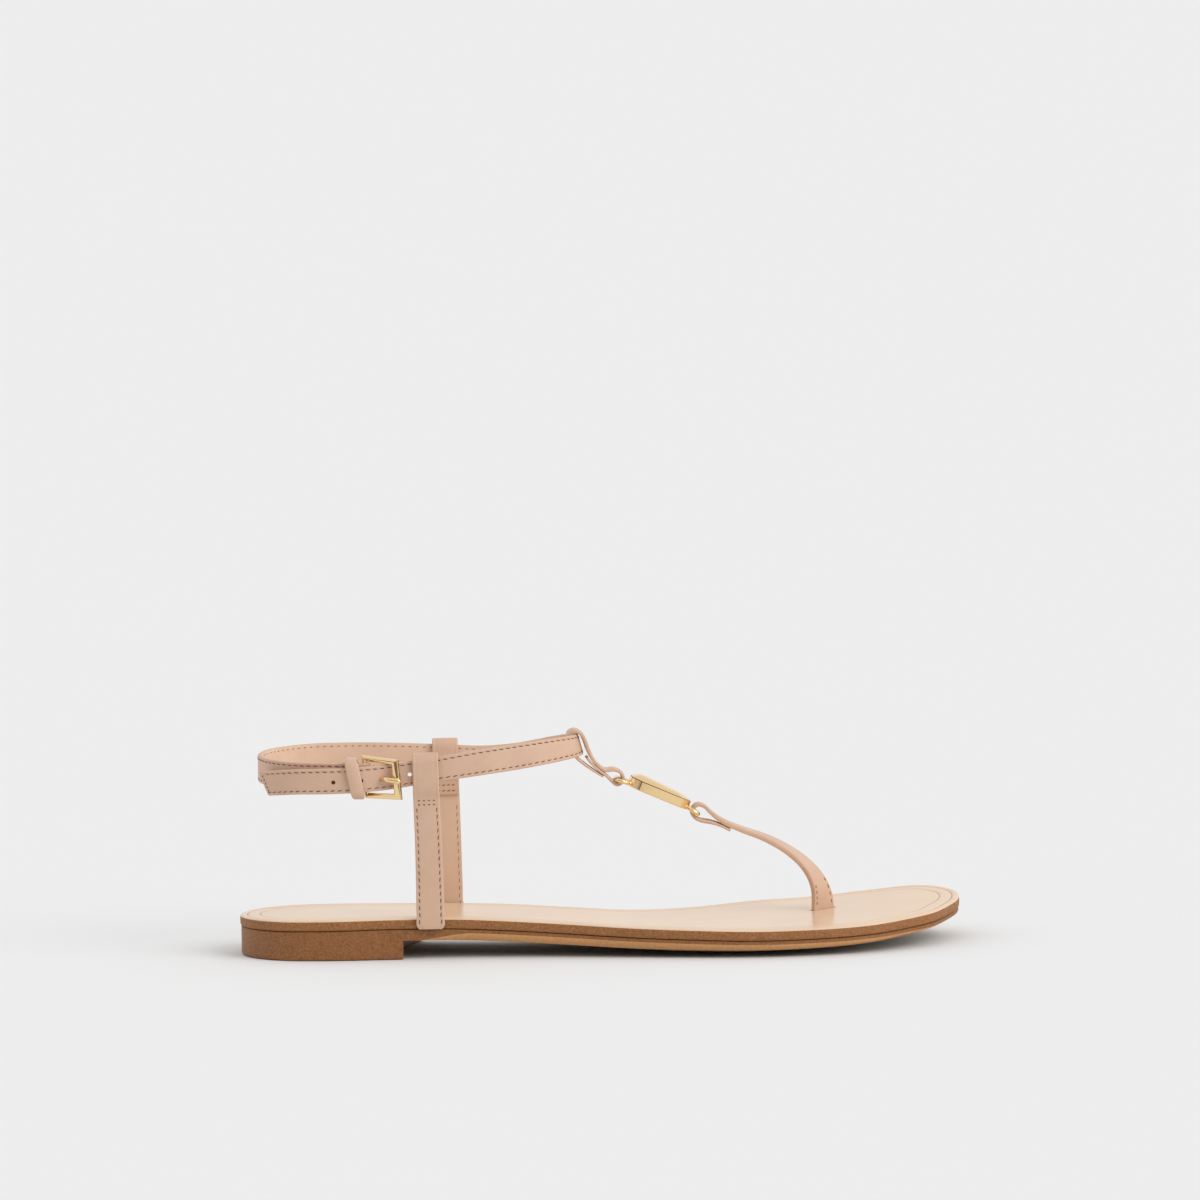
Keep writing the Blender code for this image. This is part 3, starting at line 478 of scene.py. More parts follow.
def plate(edge, levels, top, bottom, columns, paint):
    """Rings of (inset, height) closed by grids; paint gives a material for each band and both caps."""
    count = len(edge)
    blocks = []
    for distance, height in levels:
        ring = inset(edge, distance(edge[:, 0]))
        blocks.append(np.column_stack([ring, height(ring[:, 0], ring[:, 1])]))
    faces = bridge(len(levels), count)
    kinds = [kind for kind in paint[1:-1] for _ in range(count)]
    used = count * len(levels)
    for first, ring, height, split, kind in (
            (0, blocks[0], top, columns[0], paint[0]),
            ((len(levels) - 1) * count, blocks[-1], bottom, columns[1], paint[-1])):
        a, b = ring[1:count // 2, :2], ring[:count // 2:-1, :2]
        share = 0.5 - 0.5 * np.cos(np.pi * np.arange(1, split) / split)
        grid = a[:, None, :] + (b - a)[:, None, :] * share[None, :, None]
        flat = grid.reshape(-1, 2)
        shares = np.tile(share, len(a))
        blocks.append(np.column_stack([flat, height(flat[:, 0], flat[:, 1], shares)]))
        inner = used + np.arange(len(flat)).reshape(len(a), split - 1)
        used += len(flat)
        rows = np.column_stack([first + np.arange(1, count // 2), inner,
                                first + np.arange(count - 1, count // 2, -1)])
        quads = np.stack([rows[:-1, :-1], rows[1:, :-1], rows[1:, 1:], rows[:-1, 1:]], axis=-1)
        quads = quads.reshape(-1, 4).tolist()
        fans = [(first, rows[0, k], rows[0, k + 1]) for k in range(rows.shape[1] - 1)]
        fans += [(first + count // 2, rows[-1, k + 1], rows[-1, k]) for k in range(rows.shape[1] - 1)]
        faces += quads + [tuple(int(v) for v in f) for f in fans]
        kinds += [kind] * (len(quads) + len(fans))
    return np.vstack(blocks), faces, kinds


def outsole_top(x, y):
    return seat(x, y) - INSOLE_THICKNESS - SEAM_GAP


def edge_softness(x):
    """How round the outsole's lower edge is: hardly at the heel, fully from the waist on."""
    t = np.clip((np.asarray(x, float) - ROUND_START) / ROUND_RUN, ROUND_LEAST, 1.0)
    return t * t * (3 - 2 * t)


def underside(x, y, share):
    edge = outsole_top(x, y) - sole_column("edge", x)
    return np.maximum(0.0, edge - sole_column("belly", x) * 4.0 * share * (1.0 - share))


def rounded_level(angle):
    def distance(x):
        return OUTSOLE_INSET + EDGE_ROUND * edge_softness(x) * (1.0 - math.cos(angle))

    def height(x, y):
        depth = sole_column("edge", x)
        drop = (depth - SIDE_BAND) * edge_softness(x)
        return outsole_top(x, y) - depth + drop * (1.0 - math.sin(angle))

    return distance, height


def breast(y):
    return BREAST_X + BREAST_SKEW * (y + HEEL_RADIUS) - BREAST_HOLLOW * (1.0 - (y / HEEL_RADIUS) ** 2)


def frames(path, across, twist, closed=False):
    """Tangent, width direction and outward direction at each point of a path."""
    path = np.asarray(path, float)
    if closed:
        t = np.roll(path, -1, axis=0) - np.roll(path, 1, axis=0)
    else:
        t = np.gradient(path, axis=0)
    t = unit(t)
    w = np.broadcast_to(np.asarray(across, float), path.shape)
    w = unit(w - t * np.sum(t * w, axis=1)[:, None])
    n = np.cross(t, w)
    a = np.radians(twist)[:, None]
    return t, w * np.cos(a) + n * np.sin(a), n * np.cos(a) - w * np.sin(a)


def sweep(path, across, twist, sections, slant=0.0, closed=False):
    """Sections (n, m, 2) swept along a path; slant shears the last rows to a slanting end."""
    path = np.asarray(path, float)
    sections = np.asarray(sections, float)
    t, w, n = frames(path, across, twist, closed)
    points = (path[:, None, :] + w[:, None, :] * sections[:, :, :1] + n[:, None, :] * sections[:, :, 1:])
    if slant:
        fade = (np.arange(len(path)) - len(path) + SLANT_ROWS) / (SLANT_ROWS - 1.0)
        fade = slant * np.clip(fade, 0.0, 1.0)
        points += t[:, None, :] * sections[:, :, :1] * fade[:, None, None]
    count, sides = sections.shape[:2]
    faces = bridge(count, sides, closed)
    if not closed:
        faces += [list(range(sides)), list(range((count - 1) * sides, count * sides))]
    return points.reshape(-1, 3), faces


def leather_section(width, thickness, pucker, groove):
    """A turned strap's section: rounded edges, a low crown, a groove under each stitch row."""
    w, t = width / 2.0, thickness / 2.0
    r = min(EDGE_TURN, 0.9 * t)
    line = w - STITCH_INSET
    upper = []
    for a in (-w + r, -w + 0.8, -line - 0.35, -line, -line + 0.35, -line + 0.9, 0.0,
              line - 0.9, line - 0.35, line, line + 0.35, w - 0.8, w - r):
        off = abs(a) - line
        dip = groove * math.exp(-(off / GROOVE_WIDTH) ** 2)
        dip += pucker * math.exp(-(off / PUCKER_WIDTH) ** 2)
        upper.append((a, t - dip - CROWN * (a / w) ** 2))
    turn = [(w - r + r * math.sin(a), t - r + r * math.cos(a) - CROWN / 2)
            for a in np.radians((25, 50, 75))]
    low = [(w - 0.02, -t + 0.30), (w - 0.16, -t + 0.10), (w - 0.5, -t)]
    right = turn + low
    return upper + right + [(0.0, -t)] + [(-a, b) for a, b in reversed(right)]


def add_mesh(vertices, faces, extra):
    """Adds another mesh's vertices and faces to the lists."""
    first = len(vertices)
    vertices.extend(extra[0])
    faces.extend([tuple(first + v for v in face) for face in extra[1]])


def stitch_mesh(path, across, twist, offsets, heights, start, stop, pitch=STITCH_PITCH,
                length=STITCH_LENGTH):
    """Stitches along a path: offsets across it, heights above its middle, between two run lengths.

    A run length below zero is counted from the path's end.
    """
    path = np.asarray(path, float)
    run = run_length(path)
    _, w, n = frames(path, across, twist)
    start, stop = (run[-1] + place if place < 0 else place for place in (start, stop))
    count = max(1, round((stop - start) / pitch))
    ring = circle(STITCH_RADIUS, STITCH_SIDES)
    last = (len(STITCH_PROFILE) - 1) * STITCH_SIDES
    shell = bridge(len(STITCH_PROFILE), STITCH_SIDES)
    shell += [range(STITCH_SIDES), range(last, last + STITCH_SIDES)]
    vertices, faces = [], []
    for s in start + (np.arange(count) + 0.5) * (stop - start) / count:
        for offset, height in zip(offsets, heights):
            a = np.interp(s, run, offset)
            h = np.interp(s, run, height)
            points = []
            for share, size, lift in STITCH_PROFILE:
                at = s + share * length
                p, wv, nv = (at_run(at, run, values) for values in (path, w, n))
                skew = STITCH_SKEW * share * (1 if a > 0 else -1)
                points += [p + wv * (a + skew + c * size) + nv * (h + lift + d * size) for c, d in ring]
            add_mesh(vertices, faces, (points, shell))
    return vertices, faces


def crossing(path, across, twist, rows, run, place, side, lean):
    """A short stitch row across a strip, at one run length, on one of its faces."""
    place = run[-1] + place if place < 0 else place
    half = np.interp(place, run, rows[:, 3]) / 2.0 - STITCH_INSET
    height = side * (np.interp(place, run, rows[:, 4]) / 2.0 - CROSS_SINK)
    centre = at_run(place, run, path)
    tv, wv, nv = (at_run(place, run, values) for values in frames(path, across, twist))
    line = [centre + wv * a + tv * (a * lean) + nv * height for a in np.linspace(-half, half, 25)]
    zero = np.zeros(len(line))
    return stitch_mesh(line, tuple(tv), zero, (zero,), (zero,), 0.01,
                       np.linalg.norm(line[-1] - line[0]), CROSS_PITCH, CROSS_LENGTH)


def leather_strip(name, rows, across, twist, nodes, slant=0.0, stitches=(), crossings=(), flip=False):
    """A turned strip: rows of x, y, z, width, thickness; stitches of start, stop, face; crossings."""
    path = rows[:, :3]
    run = run_length(path)
    wave = PUCKER_DEPTH * np.cos(2 * np.pi * run / STITCH_PITCH)
    turned = -1 if flip else 1
    sections = []
    for row, pucker in zip(rows, wave):
        shape = (pucker, GROOVE_DEPTH) if stitches else (0.0, 0.0)
        sections.append([(a, turned * b) for a, b in leather_section(row[3], row[4], *shape)])
    vertices, faces = sweep(path, across, twist, sections, slant)
    ring = [1 if k in LINING_SIDES else 0 for k in range(len(sections[0]))]
    item = finish_mesh(name, vertices, faces, ("strap", "lining"), nodes,
                       paint=ring * (len(rows) - 1) + [1, 1], sharp=60.0)
    offset = rows[:, 3] / 2.0 - STITCH_INSET
    vertices, faces = [], []
    for start, stop, face in stitches:
        height = turned * face * (rows[:, 4] / 2.0 - STITCH_SINK)
        add_mesh(vertices, faces, stitch_mesh(path, across, twist, (offset, -offset),
                                              (height, height), start, stop))
    for place, face, lean in crossings:
        add_mesh(vertices, faces, crossing(path, across, twist, rows, run, place, turned * face, lean))
    if vertices:
        finish_mesh(f"{name}_stitches", vertices, faces, ("thread",), nodes)
    return item, path, run


def new_material(name, colour, roughness, metallic=0.0):
    material = bpy.data.materials.new(name)
    material.use_nodes = True
    tree = material.node_tree
    shader = tree.nodes["Principled BSDF"]
    shader.inputs["Base Color"].default_value = colour
    shader.inputs["Roughness"].default_value = roughness
    shader.inputs["Metallic"].default_value = metallic
    return material, tree, shader


def add_node(tree, kind, **values):
    node = tree.nodes.new(kind)
    for key, value in values.items():
        node.inputs[key].default_value = value
    return node


def noise(tree, scale, detail=3.0, rough=0.55):
    coords = tree.nodes.get("coords")
    if coords is None:
        coords = tree.nodes.new("ShaderNodeTexCoord")
        coords.name = "coords"
    node = add_node(tree, "ShaderNodeTexNoise", Scale=scale, Detail=detail, Roughness=rough)
    tree.links.new(coords.outputs["Object"], node.inputs["Vector"])
    return node.outputs["Fac"]


def ramp(tree, source, stops):
    """The colour output of a ramp through the stops, driven by the source."""
    node = tree.nodes.new("ShaderNodeValToRGB")
    while len(node.color_ramp.elements) < len(stops):
        node.color_ramp.elements.new(0.5)
    for element, (place, colour) in zip(node.color_ramp.elements, stops):
        element.position = place
        element.color = colour
    tree.links.new(source, node.inputs["Fac"])
    return node.outputs["Color"]


def bump(tree, shader, heights):
    """A chain of bumps; heights are (socket, strength, distance in mm)."""
    target = shader.inputs["Normal"]
    for socket, strength, distance in reversed(heights):
        node = add_node(tree, "ShaderNodeBump", Strength=strength, Distance=distance * MM)
        tree.links.new(socket, node.inputs["Height"])
        tree.links.new(node.outputs["Normal"], target)
        target = node.inputs["Normal"]


def grey(value):
    return (value, value, value, 1.0)


def strap_leather(name, light, dark, roughness):
    material, tree, shader = new_material(name, srgb(*light), roughness)
    mottled = ramp(tree, noise(tree, 90.0, 4.0), ((0.30, srgb(*dark)), (0.62, srgb(*light))))
    tree.links.new(mottled, shader.inputs["Base Color"])
    grain = add_node(tree, "ShaderNodeTexVoronoi", Scale=1500.0, Randomness=1.0)
    tree.links.new(tree.nodes["coords"].outputs["Object"], grain.inputs["Vector"])
    bump(tree, shader, ((grain.outputs["Distance"], 0.25, 0.10), (noise(tree, 3200.0, 2.0), 0.2, 0.05)))
    gloss = ramp(tree, noise(tree, 500.0),
                 ((0.3, grey(roughness - 0.08)), (0.7, grey(roughness + 0.08))))
    tree.links.new(gloss, shader.inputs["Roughness"])
    shader.inputs["Specular IOR Level"].default_value = 0.45
    return material


def speckled(name, colour, roughness, speck, stops, grain=None):
    """A material whose colour runs through the stops; grain is scale, detail, strength, depth."""
    material, tree, shader = new_material(name, srgb(*colour), roughness)
    colours = ramp(tree, noise(tree, *speck), [(place, srgb(*shade)) for place, shade in stops])
    tree.links.new(colours, shader.inputs["Base Color"])
    if grain:
        scale, detail, strength, depth = grain
        bump(tree, shader, ((noise(tree, scale, detail), strength, depth),))
    return material


def insole_leather():
    """Smooth leather under a thin warm polish."""
    material = speckled("insole leather", (226, 200, 177), 0.28, (28.0, 4.0),
                        ((0.3, (226, 196, 167)), (0.7, (235, 208, 180))), (1800.0, 3.0, 0.12, 0.05))
    inputs = material.node_tree.nodes["Principled BSDF"].inputs
    inputs["Coat Weight"].default_value = 0.3
    inputs["Coat Roughness"].default_value = 0.14
    inputs["Coat Tint"].default_value = srgb(251, 237, 217)
    return material


def gold_metal():
    material, tree, shader = new_material("gold metal", srgb(248, 216, 164), 0.14, 1.0)
    gloss = ramp(tree, noise(tree, 400.0), ((0.3, grey(0.10)), (0.7, grey(0.18))))
    tree.links.new(gloss, shader.inputs["Roughness"])
    bump(tree, shader, ((noise(tree, 900.0, 2.0), 0.04, 0.05),))
    return material


MATERIALS = {
    "strap": strap_leather("strap leather", (214, 178, 152), (208, 171, 145), 0.45),
    "lining": strap_leather("strap lining", (224, 191, 165), (217, 183, 157), 0.6),
    "thread": speckled("stitch thread", (92, 58, 40), 0.6, (2600.0, 2.0),
                       ((0.35, (84, 50, 34)), (0.65, (136, 92, 66))), (2600.0, 2.0, 0.4, 0.08)),
    "insole": insole_leather(),
    # Darker colour for the pressed lines' bottoms: painted shade in the recess, not the leather's own
    # tone.
    "groove": speckled("insole groove painted shade", (196, 166, 140), 0.5, (200.0, 2.0),
                       ((0.3, (158, 124, 98)), (0.7, (176, 142, 114)))),
    "insole_edge": speckled("insole edge", (150, 104, 68), 0.62, (1500.0, 5.0, 0.7),
                            ((0.28, (86, 50, 20)), (0.45, (144, 93, 47)), (0.62, (166, 112, 62)),
                             (0.8, (196, 148, 98))), (1700.0, 4.0, 0.5, 0.12)),
    "rubber": speckled("sole rubber", (138, 90, 55), 0.55, (1300.0, 5.0, 0.7),
                       ((0.28, (96, 57, 24)), (0.5, (143, 92, 47)), (0.75, (166, 112, 62))),
                       (1400.0, 4.0, 0.35, 0.10)),
    "bevel": speckled("sole bevel", (190, 140, 98), 0.5, (1200.0, 4.0, 0.6),
                      ((0.3, (186, 131, 78)), (0.7, (208, 155, 101))), (1300.0, 3.0, 0.2, 0.08)),
    "tread": speckled("tread", (150, 132, 112), 0.62, (700.0, 4.0, 0.6),
                      ((0.3, (142, 124, 105)), (0.7, (158, 140, 120))), (900.0, 3.0, 0.25, 0.1)),
    "gold": gold_metal(),
    # Dark brown gold for the seam bands: a painted shadow line along the top of the plate's side wall.
    "gold_seam_shade": new_material("gold painted seam shade", srgb(104, 72, 34), 0.35, 0.6)[0],
}


def build_insole():
    """The leather covered board with its two pressed lines and the thong's slot."""
    levels = [(lambda x, d=d: x * 0 + d, lambda x, y, h=h: seat(x, y) + h) for d, h in INSOLE_PROFILE]
    paint = [0]
    for band, (distance, _) in enumerate(INSOLE_PROFILE[:-1]):
        # Bands at the bottom of the pressed lines (2) get painted shade; the board's edge (1) gets its
        # own brown.
        paint.append(2 if distance in SHADED_GROOVE_INSETS else 1 if band >= EDGE_BAND else 0)
    paint.append(1)
    vertices, faces, kinds = plate(outline(560), levels, lambda x, y, s: seat(x, y),
                                   lambda x, y, s: seat(x, y) - INSOLE_THICKNESS, (70, 4), paint)
    item = finish_mesh("insole_body", vertices, faces, ("insole", "insole_edge", "groove"),
                       ("insole",), paint=kinds)
    x, y, _, twist = THONG[-1][:4]
    twist = math.radians(twist)
    long_way = np.array((math.sin(twist), math.cos(twist))) * SLOT_HALF_LENGTH
    short_way = np.array((math.cos(twist), -math.sin(twist))) * SLOT_HALF_WIDTH
    corners = [np.array((x, y)) + long_way * a + short_way * b
               for a, b in ((1, 1), (-1, 1), (-1, -1), (1, -1))]
    vertices = [(*c, z) for z in (SLOT_FLOOR, SLOT_TOP) for c in corners]
    cut(item, "thong_slot", vertices, [(0, 1, 2, 3), (4, 5, 6, 7)] + bridge(2, 4))


def build_outsole():
    """The moulded unit: the outsole with its rounded edge, and the heel block under it."""
    edge = outline(400)
    levels = [(lambda x: x * 0 + OUTSOLE_INSET + OUTSOLE_RIM, outsole_top),
              (lambda x: x * 0 + OUTSOLE_INSET, lambda x, y: outsole_top(x, y) - OUTSOLE_RIM)]
    levels += [rounded_level(math.radians(a)) for a in range(0, 91, 10)]
    paint = [0, 0, 0] + [1] * 9 + [2]
    vertices, faces, kinds = plate(edge, levels, lambda x, y, s: outsole_top(x, y), underside,
                                   (4, 48), paint)
    kinds = np.array(kinds)
    middle = np.array([vertices[list(f), 0].mean() for f in faces])
    kinds[(kinds == 1) & (middle < BEVEL_START)] = 0
    finish_mesh("sole_unit", vertices, faces, ("rubber", "bevel", "tread"),
                ("outsole",), paint=kinds)
    ring = inset(edge, OUTSOLE_INSET - HEEL_GROWTH)
    half = len(ring) // 2
    lateral, medial = ([p for p in side if p[0] < breast(p[1]) - BREAST_GAP]
                       for side in (ring[:half], ring[half:]))
    front = [(breast(y), y) for y in np.linspace(lateral[-1][1], medial[0][1], 41)]
    loop = np.vstack([lateral, front, medial])
    count = len(loop)
    inward = unit(np.array(HEEL_CENTRE) - loop)
    vertices = np.vstack([np.column_stack([loop + inward * shrink, np.full(count, z)])
                          for z, shrink in HEEL_LEVELS])
    caps = [list(range(count)), list(range(4 * count, 5 * count))]
    finish_mesh("heel_block", vertices, caps + bridge(len(HEEL_LEVELS), count), ("rubber",),
                ("outsole",))


def cylinder(centre, axis, radius, half, sides=20):
    axis = unit(axis)
    side = unit(np.cross(axis, (0, 0, 1.0)))
    up = np.cross(side, axis)
    vertices = [np.asarray(centre) + axis * end + side * a + up * b
                for end in (-half, half) for a, b in circle(radius, sides)]
    return vertices, [list(range(sides)), list(range(sides, 2 * sides))] + bridge(2, sides)


def hinge_fold():
    """The strap's turn round the buckle's rear bar."""
    return [(HINGE_X + FOLD_RADIUS * math.cos(a), HINGE_Y + FOLD_RADIUS * math.sin(a), HINGE_Z, 0,
             FOLD_WIDTH, FOLD_THICKNESS) for a in np.radians((90, 67, 45, 22, 0, -22, -45, -67, -90))]


def build_ankle_strap():
    """One strip: folded round the bar, round the heel and the instep, to the punched tongue."""
    fine = np.vstack([along(ANKLE_FOLD, 1.0), hinge_fold(), along(ANKLE_HEEL, 0.6)[1:]])
    rows = fine[:, [0, 1, 2, 4, 5]]
    item, path, run = leather_strip("ankle_strap_body", rows, (0, 0, 1), fine[:, 3], ("ankle_strap",),
                                    slant=TONGUE_SLANT, flip=True,
                                    stitches=((24.0, -1.6, 1), (24.0, -1.6, -1)),
                                    crossings=((-1.3, 1, TONGUE_SLANT),))
    tongue = np.where((path[:, 1] < TONGUE_Y) & (run > run[-1] * TONGUE_START))[0]
    order = tongue[np.argsort(path[tongue, 0])]
    for i, x in enumerate(HOLE_STATIONS):
        y, z = (np.interp(x, path[order, 0], path[order, c]) for c in (1, 2))
        cut(item, f"punch_{i + 1}", *cylinder((x, y, z - HOLE_DROP), (0, 1, 0), HOLE_RADIUS,
                                              HOLE_HALF_LENGTH))


def build_posts():
    for name, place in POSTS.items():
        height = place["top"] - POST_BASE_Z
        rows = [(place["x"] + shift * place["shift"] / POST_TOP_SHIFT,
                 place["y"] + place["out"] * offset, POST_BASE_Z + z * height, width, thickness)
                for offset, z, shift, width, thickness in POST]
        rows = along(rows, 0.6)
        leather_strip(f"{name}_body", rows, (1, 0, 0), rows[:, 0] * 0.0, (name,),
                      flip=place["out"] < 0, stitches=((1.4, 43.0, 1), (1.4, 37.5, -1)),
                      crossings=((43.8, 1, 0.0), (45.3, 1, 0.0), (-3.3, 1, 0.0), (-1.3, 1, 0.0)))


def build_instep_strap():
    yaw = math.tan(INSTEP_YAW)
    rows = along([(x, INSTEP_Y + (x - INSTEP_X) * yaw, z, width, t) for x, z, width, t in INSTEP], 0.5)
    leather_strip("instep_strap_body", rows, INSTEP_ACROSS, rows[:, 0] * 0.0, ("instep_strap",))


def build_thong():
    rows = along(THONG, 0.5)
    leather_strip("toe_thong_body", rows[:, [0, 1, 2, 4, 5]], INSTEP_ACROSS, rows[:, 3],
                  ("toe_thong",), stitches=((-11.5, -2.4, 1), (-11.5, -2.4, -1)))


def rounded_loop(width, height, radius, steps):
    points = []
    for quarter, (sx, sy) in enumerate(((1, 1), (-1, 1), (-1, -1), (1, -1))):
        for k in range(steps + 1):
            a = math.radians(90.0 * (quarter + k / steps))
            points.append((sx * (width / 2 - radius) + radius * math.cos(a),
                           sy * (height / 2 - radius) + radius * math.sin(a)))
    return np.array(points)


def build_keeper():
    """The leather ring round the folded strap and the tongue, narrower at its turns."""
    width, height = KEEPER_INNER_Y - KEEPER_OUTER_Y, KEEPER_HIGH_Z - KEEPER_LOW_Z
    middle_y = (KEEPER_INNER_Y + KEEPER_OUTER_Y) / 2
    middle_z = (KEEPER_LOW_Z + KEEPER_HIGH_Z) / 2
    loop = rounded_loop(width, height, KEEPER_CORNER, 10)
    path = np.column_stack([KEEPER_X + KEEPER_SLANT * loop[:, 1], middle_y + loop[:, 0],
                            middle_z + loop[:, 1]])
    turn = np.clip((np.abs(loop[:, 1]) - height / 2) / KEEPER_TURN + 1.0, 0.0, 1.0)
    sections = []
    for bend in turn:
        w, t = KEEPER_WIDTH / 2 * (1.0 - KEEPER_PINCH * bend ** 2), KEEPER_THICKNESS / 2
        bulge = KEEPER_BULGE * (1.0 - bend)
        right = [(w * 0.45, t + 0.7 * bulge), (w - 0.7, t + 0.08 * bulge), (w - 0.28, t - 0.06),
                 (w - 0.08, t - 0.25), (w, t - 0.5), (w, -t + 0.15), (w - 0.1, -t)]
        sections.append([(-a, b) for a, b in reversed(right)] + [(0, t + bulge)] + right)
    vertices, faces = sweep(path, (1, 0, 0), np.zeros(len(path)), sections, closed=True)
    finish_mesh("keeper_loop_body", vertices, faces, ("strap",), ("keeper_loop",),
                sharp=60.0)


def build_buckle():
    """The frame with mitred corners, each bar of its own width, and the prong through the hole."""
    corners = np.array(BUCKLE_CORNERS)
    along_bar = unit((corners[0] - corners[3]) * (1, 1, 0))
    out = np.array((along_bar[1], -along_bar[0], 0.0))
    flat = np.column_stack([(corners - corners[3]) @ along_bar, corners[:, 2]])
    bars = unit(np.roll(flat, -1, axis=0) - flat)
    normals = np.column_stack([-bars[:, 1], bars[:, 0]])
    vertices = []
    for i in range(4):
        solve = np.linalg.inv(normals[[i - 1, i]])
        for share, height in BUCKLE_SECTION:
            shift = solve @ np.array((share * BUCKLE_WIDTHS[i - 1], share * BUCKLE_WIDTHS[i])) / 2.0
            place = flat[i] + shift
            foot = corners[3] + along_bar * place[0]
            vertices.append(np.array((foot[0], foot[1], place[1])) + out * height * BUCKLE_DEPTHS[i])
    faces = bridge(4, len(BUCKLE_SECTION), closed=True)
    finish_mesh("buckle_frame_body", vertices, faces, ("gold",), ("buckle_frame",),
                sharp=25.0)

    thin = PRONG[0][3]
    loop = PRONG_LOOP + thin
    rows = [(HINGE_X + loop * math.cos(a), HINGE_Y + loop * math.sin(a), 0.0, thin)
            for a in np.radians(PRONG_ANGLES)]
    rows = along(rows + list(PRONG), 0.3)
    path = np.column_stack([rows[:, 0], rows[:, 1], PRONG_Z - rows[:, 2]])
    vertices, faces = sweep(path, (0, 0, 1), np.zeros(len(path)),
                            circle(1.0, 16)[None, :, :] * rows[:, 3][:, None, None])
    finish_mesh("buckle_prong_body", vertices, faces, ("gold",), ("buckle_prong",),
                sharp=50.0)


def plate_point(points):
    """From the plate's own directions to millimetres from the back of the heel."""
    points = np.asarray(points, float)
    x, y, z = points[..., 0], points[..., 1], points[..., 2]
    c, s = math.cos(PLATE_SLOPE), math.sin(PLATE_SLOPE)
    x, z = x * c - z * s, x * s + z * c
    c, s = math.cos(INSTEP_YAW), math.sin(INSTEP_YAW)
    return np.stack([PLATE_CENTRE[0] + x * c - y * s, PLATE_CENTRE[1] + x * s + y * c,
                     PLATE_CENTRE[2] + z], axis=-1)


def build_ornament():
    """The domed plate with chamfered corners, and a wire loop at each of its ends."""
    half, width = PLATE_LENGTH / 2, PLATE_WIDTH / 2
    end, side = width - PLATE_CORNER_Y, half - PLATE_CORNER_X
    t = PLATE_THICKNESS / 2
    base = np.array([(half, -end), (half, end), (side, width), (-side, width),
                     (-half, end), (-half, -end), (-side, -width), (side, -width)])
    ring = []
    for i, corner in enumerate(base):
        before, after = unit(base[i - 1] - corner), unit(base[(i + 1) % 8] - corner)
        ring += [corner + before * PLATE_BLUNT, corner + (before + after) * PLATE_BLUNT / 3,
                 corner + after * PLATE_BLUNT]
    ring = np.array(ring)
    levels = [(0.3, -t), (0.0, -t + 0.25), (0.0, t - 0.1)] + [(d, t + z) for d, z in PLATE_DOME]
    vertices = []
    for d, z in levels:
        x, y = ring[:, 0] * (1 - d / half), ring[:, 1] * (1 - d / width)
        rise = max(0.0, z - t) * (1.0 - PLATE_FALL * x / half)
        vertices.append(np.column_stack([x, y, min(z, t) + rise]))
    count = len(ring)
    last = (len(levels) - 1) * count
    faces = bridge(len(levels), count) + [list(range(count)), list(range(last, last + count))]
    # The seam bands take the dark gold: painted shade.
    kinds = [1 if k // count in SHADED_SEAM_BANDS else 0 for k in range(last)] + [0, 0]
    finish_mesh("ornament_plate", plate_point(np.vstack(vertices)), faces, ("gold", "gold_seam_shade"),
                ("ornament",), paint=kinds, sharp=24.0)

    across = np.array(INSTEP_ACROSS)
    for name, bar, end in (("rear_wire", REAR_BAR, -1.0), ("front_wire", FRONT_BAR, 1.0)):
        bar = np.array(bar)
        root = plate_point((end * (half - WIRE_ROOT_INSET), 0, WIRE_ROOT_Z))
        run = unit(bar - root)
        legs = [root - across * (LEG_HALF_WIDTH - 0.5),
                root + run * 1.4 - across * LEG_HALF_WIDTH,
                root + run * 2.6 - across * (BAR_HALF_WIDTH - 0.2)]
        for a in np.radians(range(0, 91, 15)):
            legs.append(bar - run * WIRE_CORNER * (1.0 - math.sin(a))
                        - across * (BAR_HALF_WIDTH - WIRE_CORNER * (1.0 - math.cos(a))))
        path = np.array(legs + [p + across * 2 * np.dot(bar - p, across) for p in reversed(legs)])
        path = along(path, 0.35)
        vertices, faces = sweep(path, np.cross(run, across), np.zeros(len(path)),
                                [circle(WIRE_RADIUS, 16)] * len(path))
        finish_mesh(name, vertices, faces, ("gold",), ("ornament",), sharp=50.0)


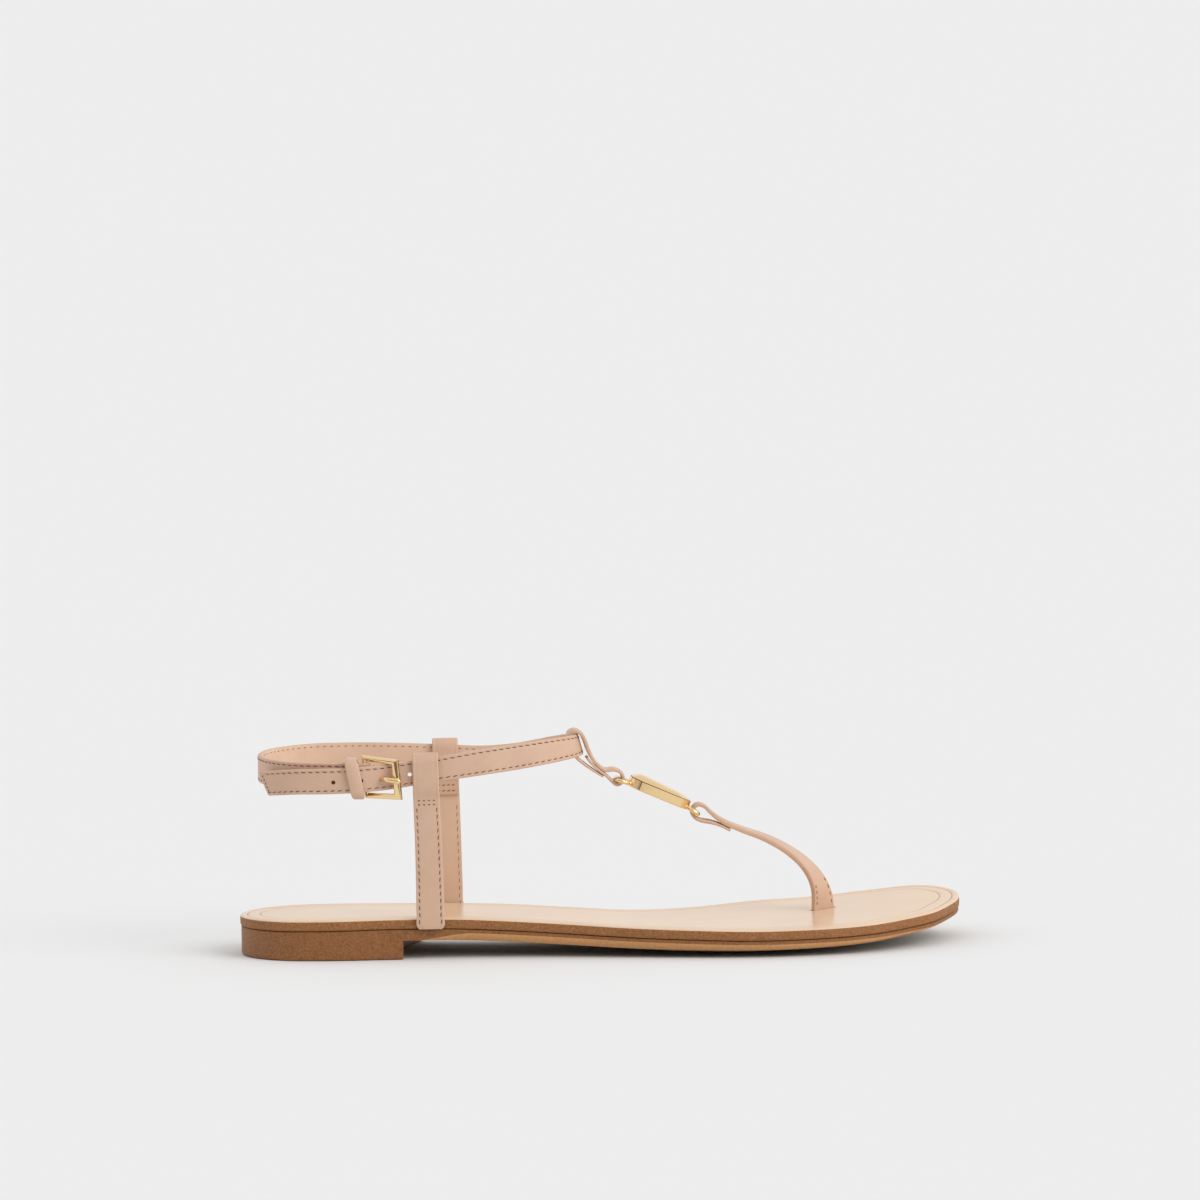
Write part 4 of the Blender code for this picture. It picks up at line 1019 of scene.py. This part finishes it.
def build_stage():
    """A plain pale floor, and a soft dome that is darker low down in front of the sandal."""
    material, _, shader = new_material("studio floor", STUDIO_TONE, 0.9)
    shader.inputs["Specular IOR Level"].default_value = 0.0
    mesh = bpy.data.meshes.new("studio_floor")
    corners = [(x * FLOOR_SIZE, y * FLOOR_SIZE, 0) for x, y in ((-1, -1), (1, -1), (1, 1), (-1, 1))]
    mesh.from_pydata(corners, [], [(0, 1, 2, 3)])
    mesh.materials.append(material)
    floor = bpy.data.objects.new("studio_floor", mesh)
    floor.location.z = -FLOOR_DROP
    link(floor)

    world = bpy.data.worlds.new("studio")
    world.use_nodes = True
    tree = world.node_tree
    tree.nodes.clear()
    output = tree.nodes.new("ShaderNodeOutputWorld")
    where = tree.nodes.new("ShaderNodeTexCoord")
    parts = tree.nodes.new("ShaderNodeSeparateXYZ")
    tree.links.new(where.outputs["Generated"], parts.inputs["Vector"])
    front, back = (ramp(tree, parts.outputs["Z"], [(z, grey(v)) for z, v in table])
                   for table in (DOME_FRONT, DOME_BACK))
    side = tree.nodes.new("ShaderNodeMapRange")
    side.inputs["From Min"].default_value, side.inputs["From Max"].default_value = DOME_TURN
    tree.links.new(parts.outputs["Y"], side.inputs["Value"])
    dome = tree.nodes.new("ShaderNodeMix")
    dome.data_type = "RGBA"
    tree.links.new(side.outputs["Result"], dome.inputs["Factor"])
    tree.links.new(front, dome.inputs[6])
    tree.links.new(back, dome.inputs[7])
    light = add_node(tree, "ShaderNodeBackground", Strength=DOME_STRENGTH)
    tree.links.new(dome.outputs[2], light.inputs["Color"])
    behind = add_node(tree, "ShaderNodeBackground", Color=STUDIO_TONE)
    path = tree.nodes.new("ShaderNodeLightPath")
    mix = tree.nodes.new("ShaderNodeMixShader")
    tree.links.new(path.outputs["Is Camera Ray"], mix.inputs["Fac"])
    tree.links.new(light.outputs["Background"], mix.inputs[1])
    tree.links.new(behind.outputs["Background"], mix.inputs[2])
    tree.links.new(mix.outputs["Shader"], output.inputs["Surface"])
    bpy.context.scene.world = world


def build_lights():
    """A wide soft sun from above, from the toe side and a little in front."""
    data = bpy.data.lights.new("soft_sun", "SUN")
    data.energy = SUN_STRENGTH
    data.angle = math.radians(SUN_ANGLE)
    item = bpy.data.objects.new("soft_sun", data)
    item.rotation_mode = "QUATERNION"
    item.rotation_quaternion = Vector(SUN_FROM).to_track_quat("Z", "Y")
    link(item)


def build_camera():
    """A long lens at the photo's scale, a little above the floor and slightly rolled."""
    back = Vector((0.0, -math.cos(CAMERA_LIFT), math.sin(CAMERA_LIFT)))
    camera = bpy.data.cameras.new("camera")
    camera.sensor_fit = "HORIZONTAL"
    camera.sensor_width = SENSOR_WIDTH
    camera.lens = SENSOR_WIDTH * PIXELS_PER_METRE * CAMERA_DISTANCE / PHOTO_WIDTH
    camera.clip_start = 0.05
    camera.clip_end = 50.0
    item = bpy.data.objects.new("camera", camera)
    item.location = Vector(CAMERA_AIM) + back * CAMERA_DISTANCE
    item.rotation_mode = "QUATERNION"
    item.rotation_quaternion = back.to_track_quat("Z", "Y") @ Quaternion((0, 0, 1), CAMERA_ROLL)
    link(item)
    bpy.context.scene.camera = item


build_insole()
build_outsole()
build_posts()
build_ankle_strap()
build_keeper()
build_instep_strap()
build_thong()
build_buckle()
build_ornament()
build_stage()
build_lights()
build_camera()
view = bpy.context.scene.view_settings
view.view_transform = "Standard"
view.look = "None"
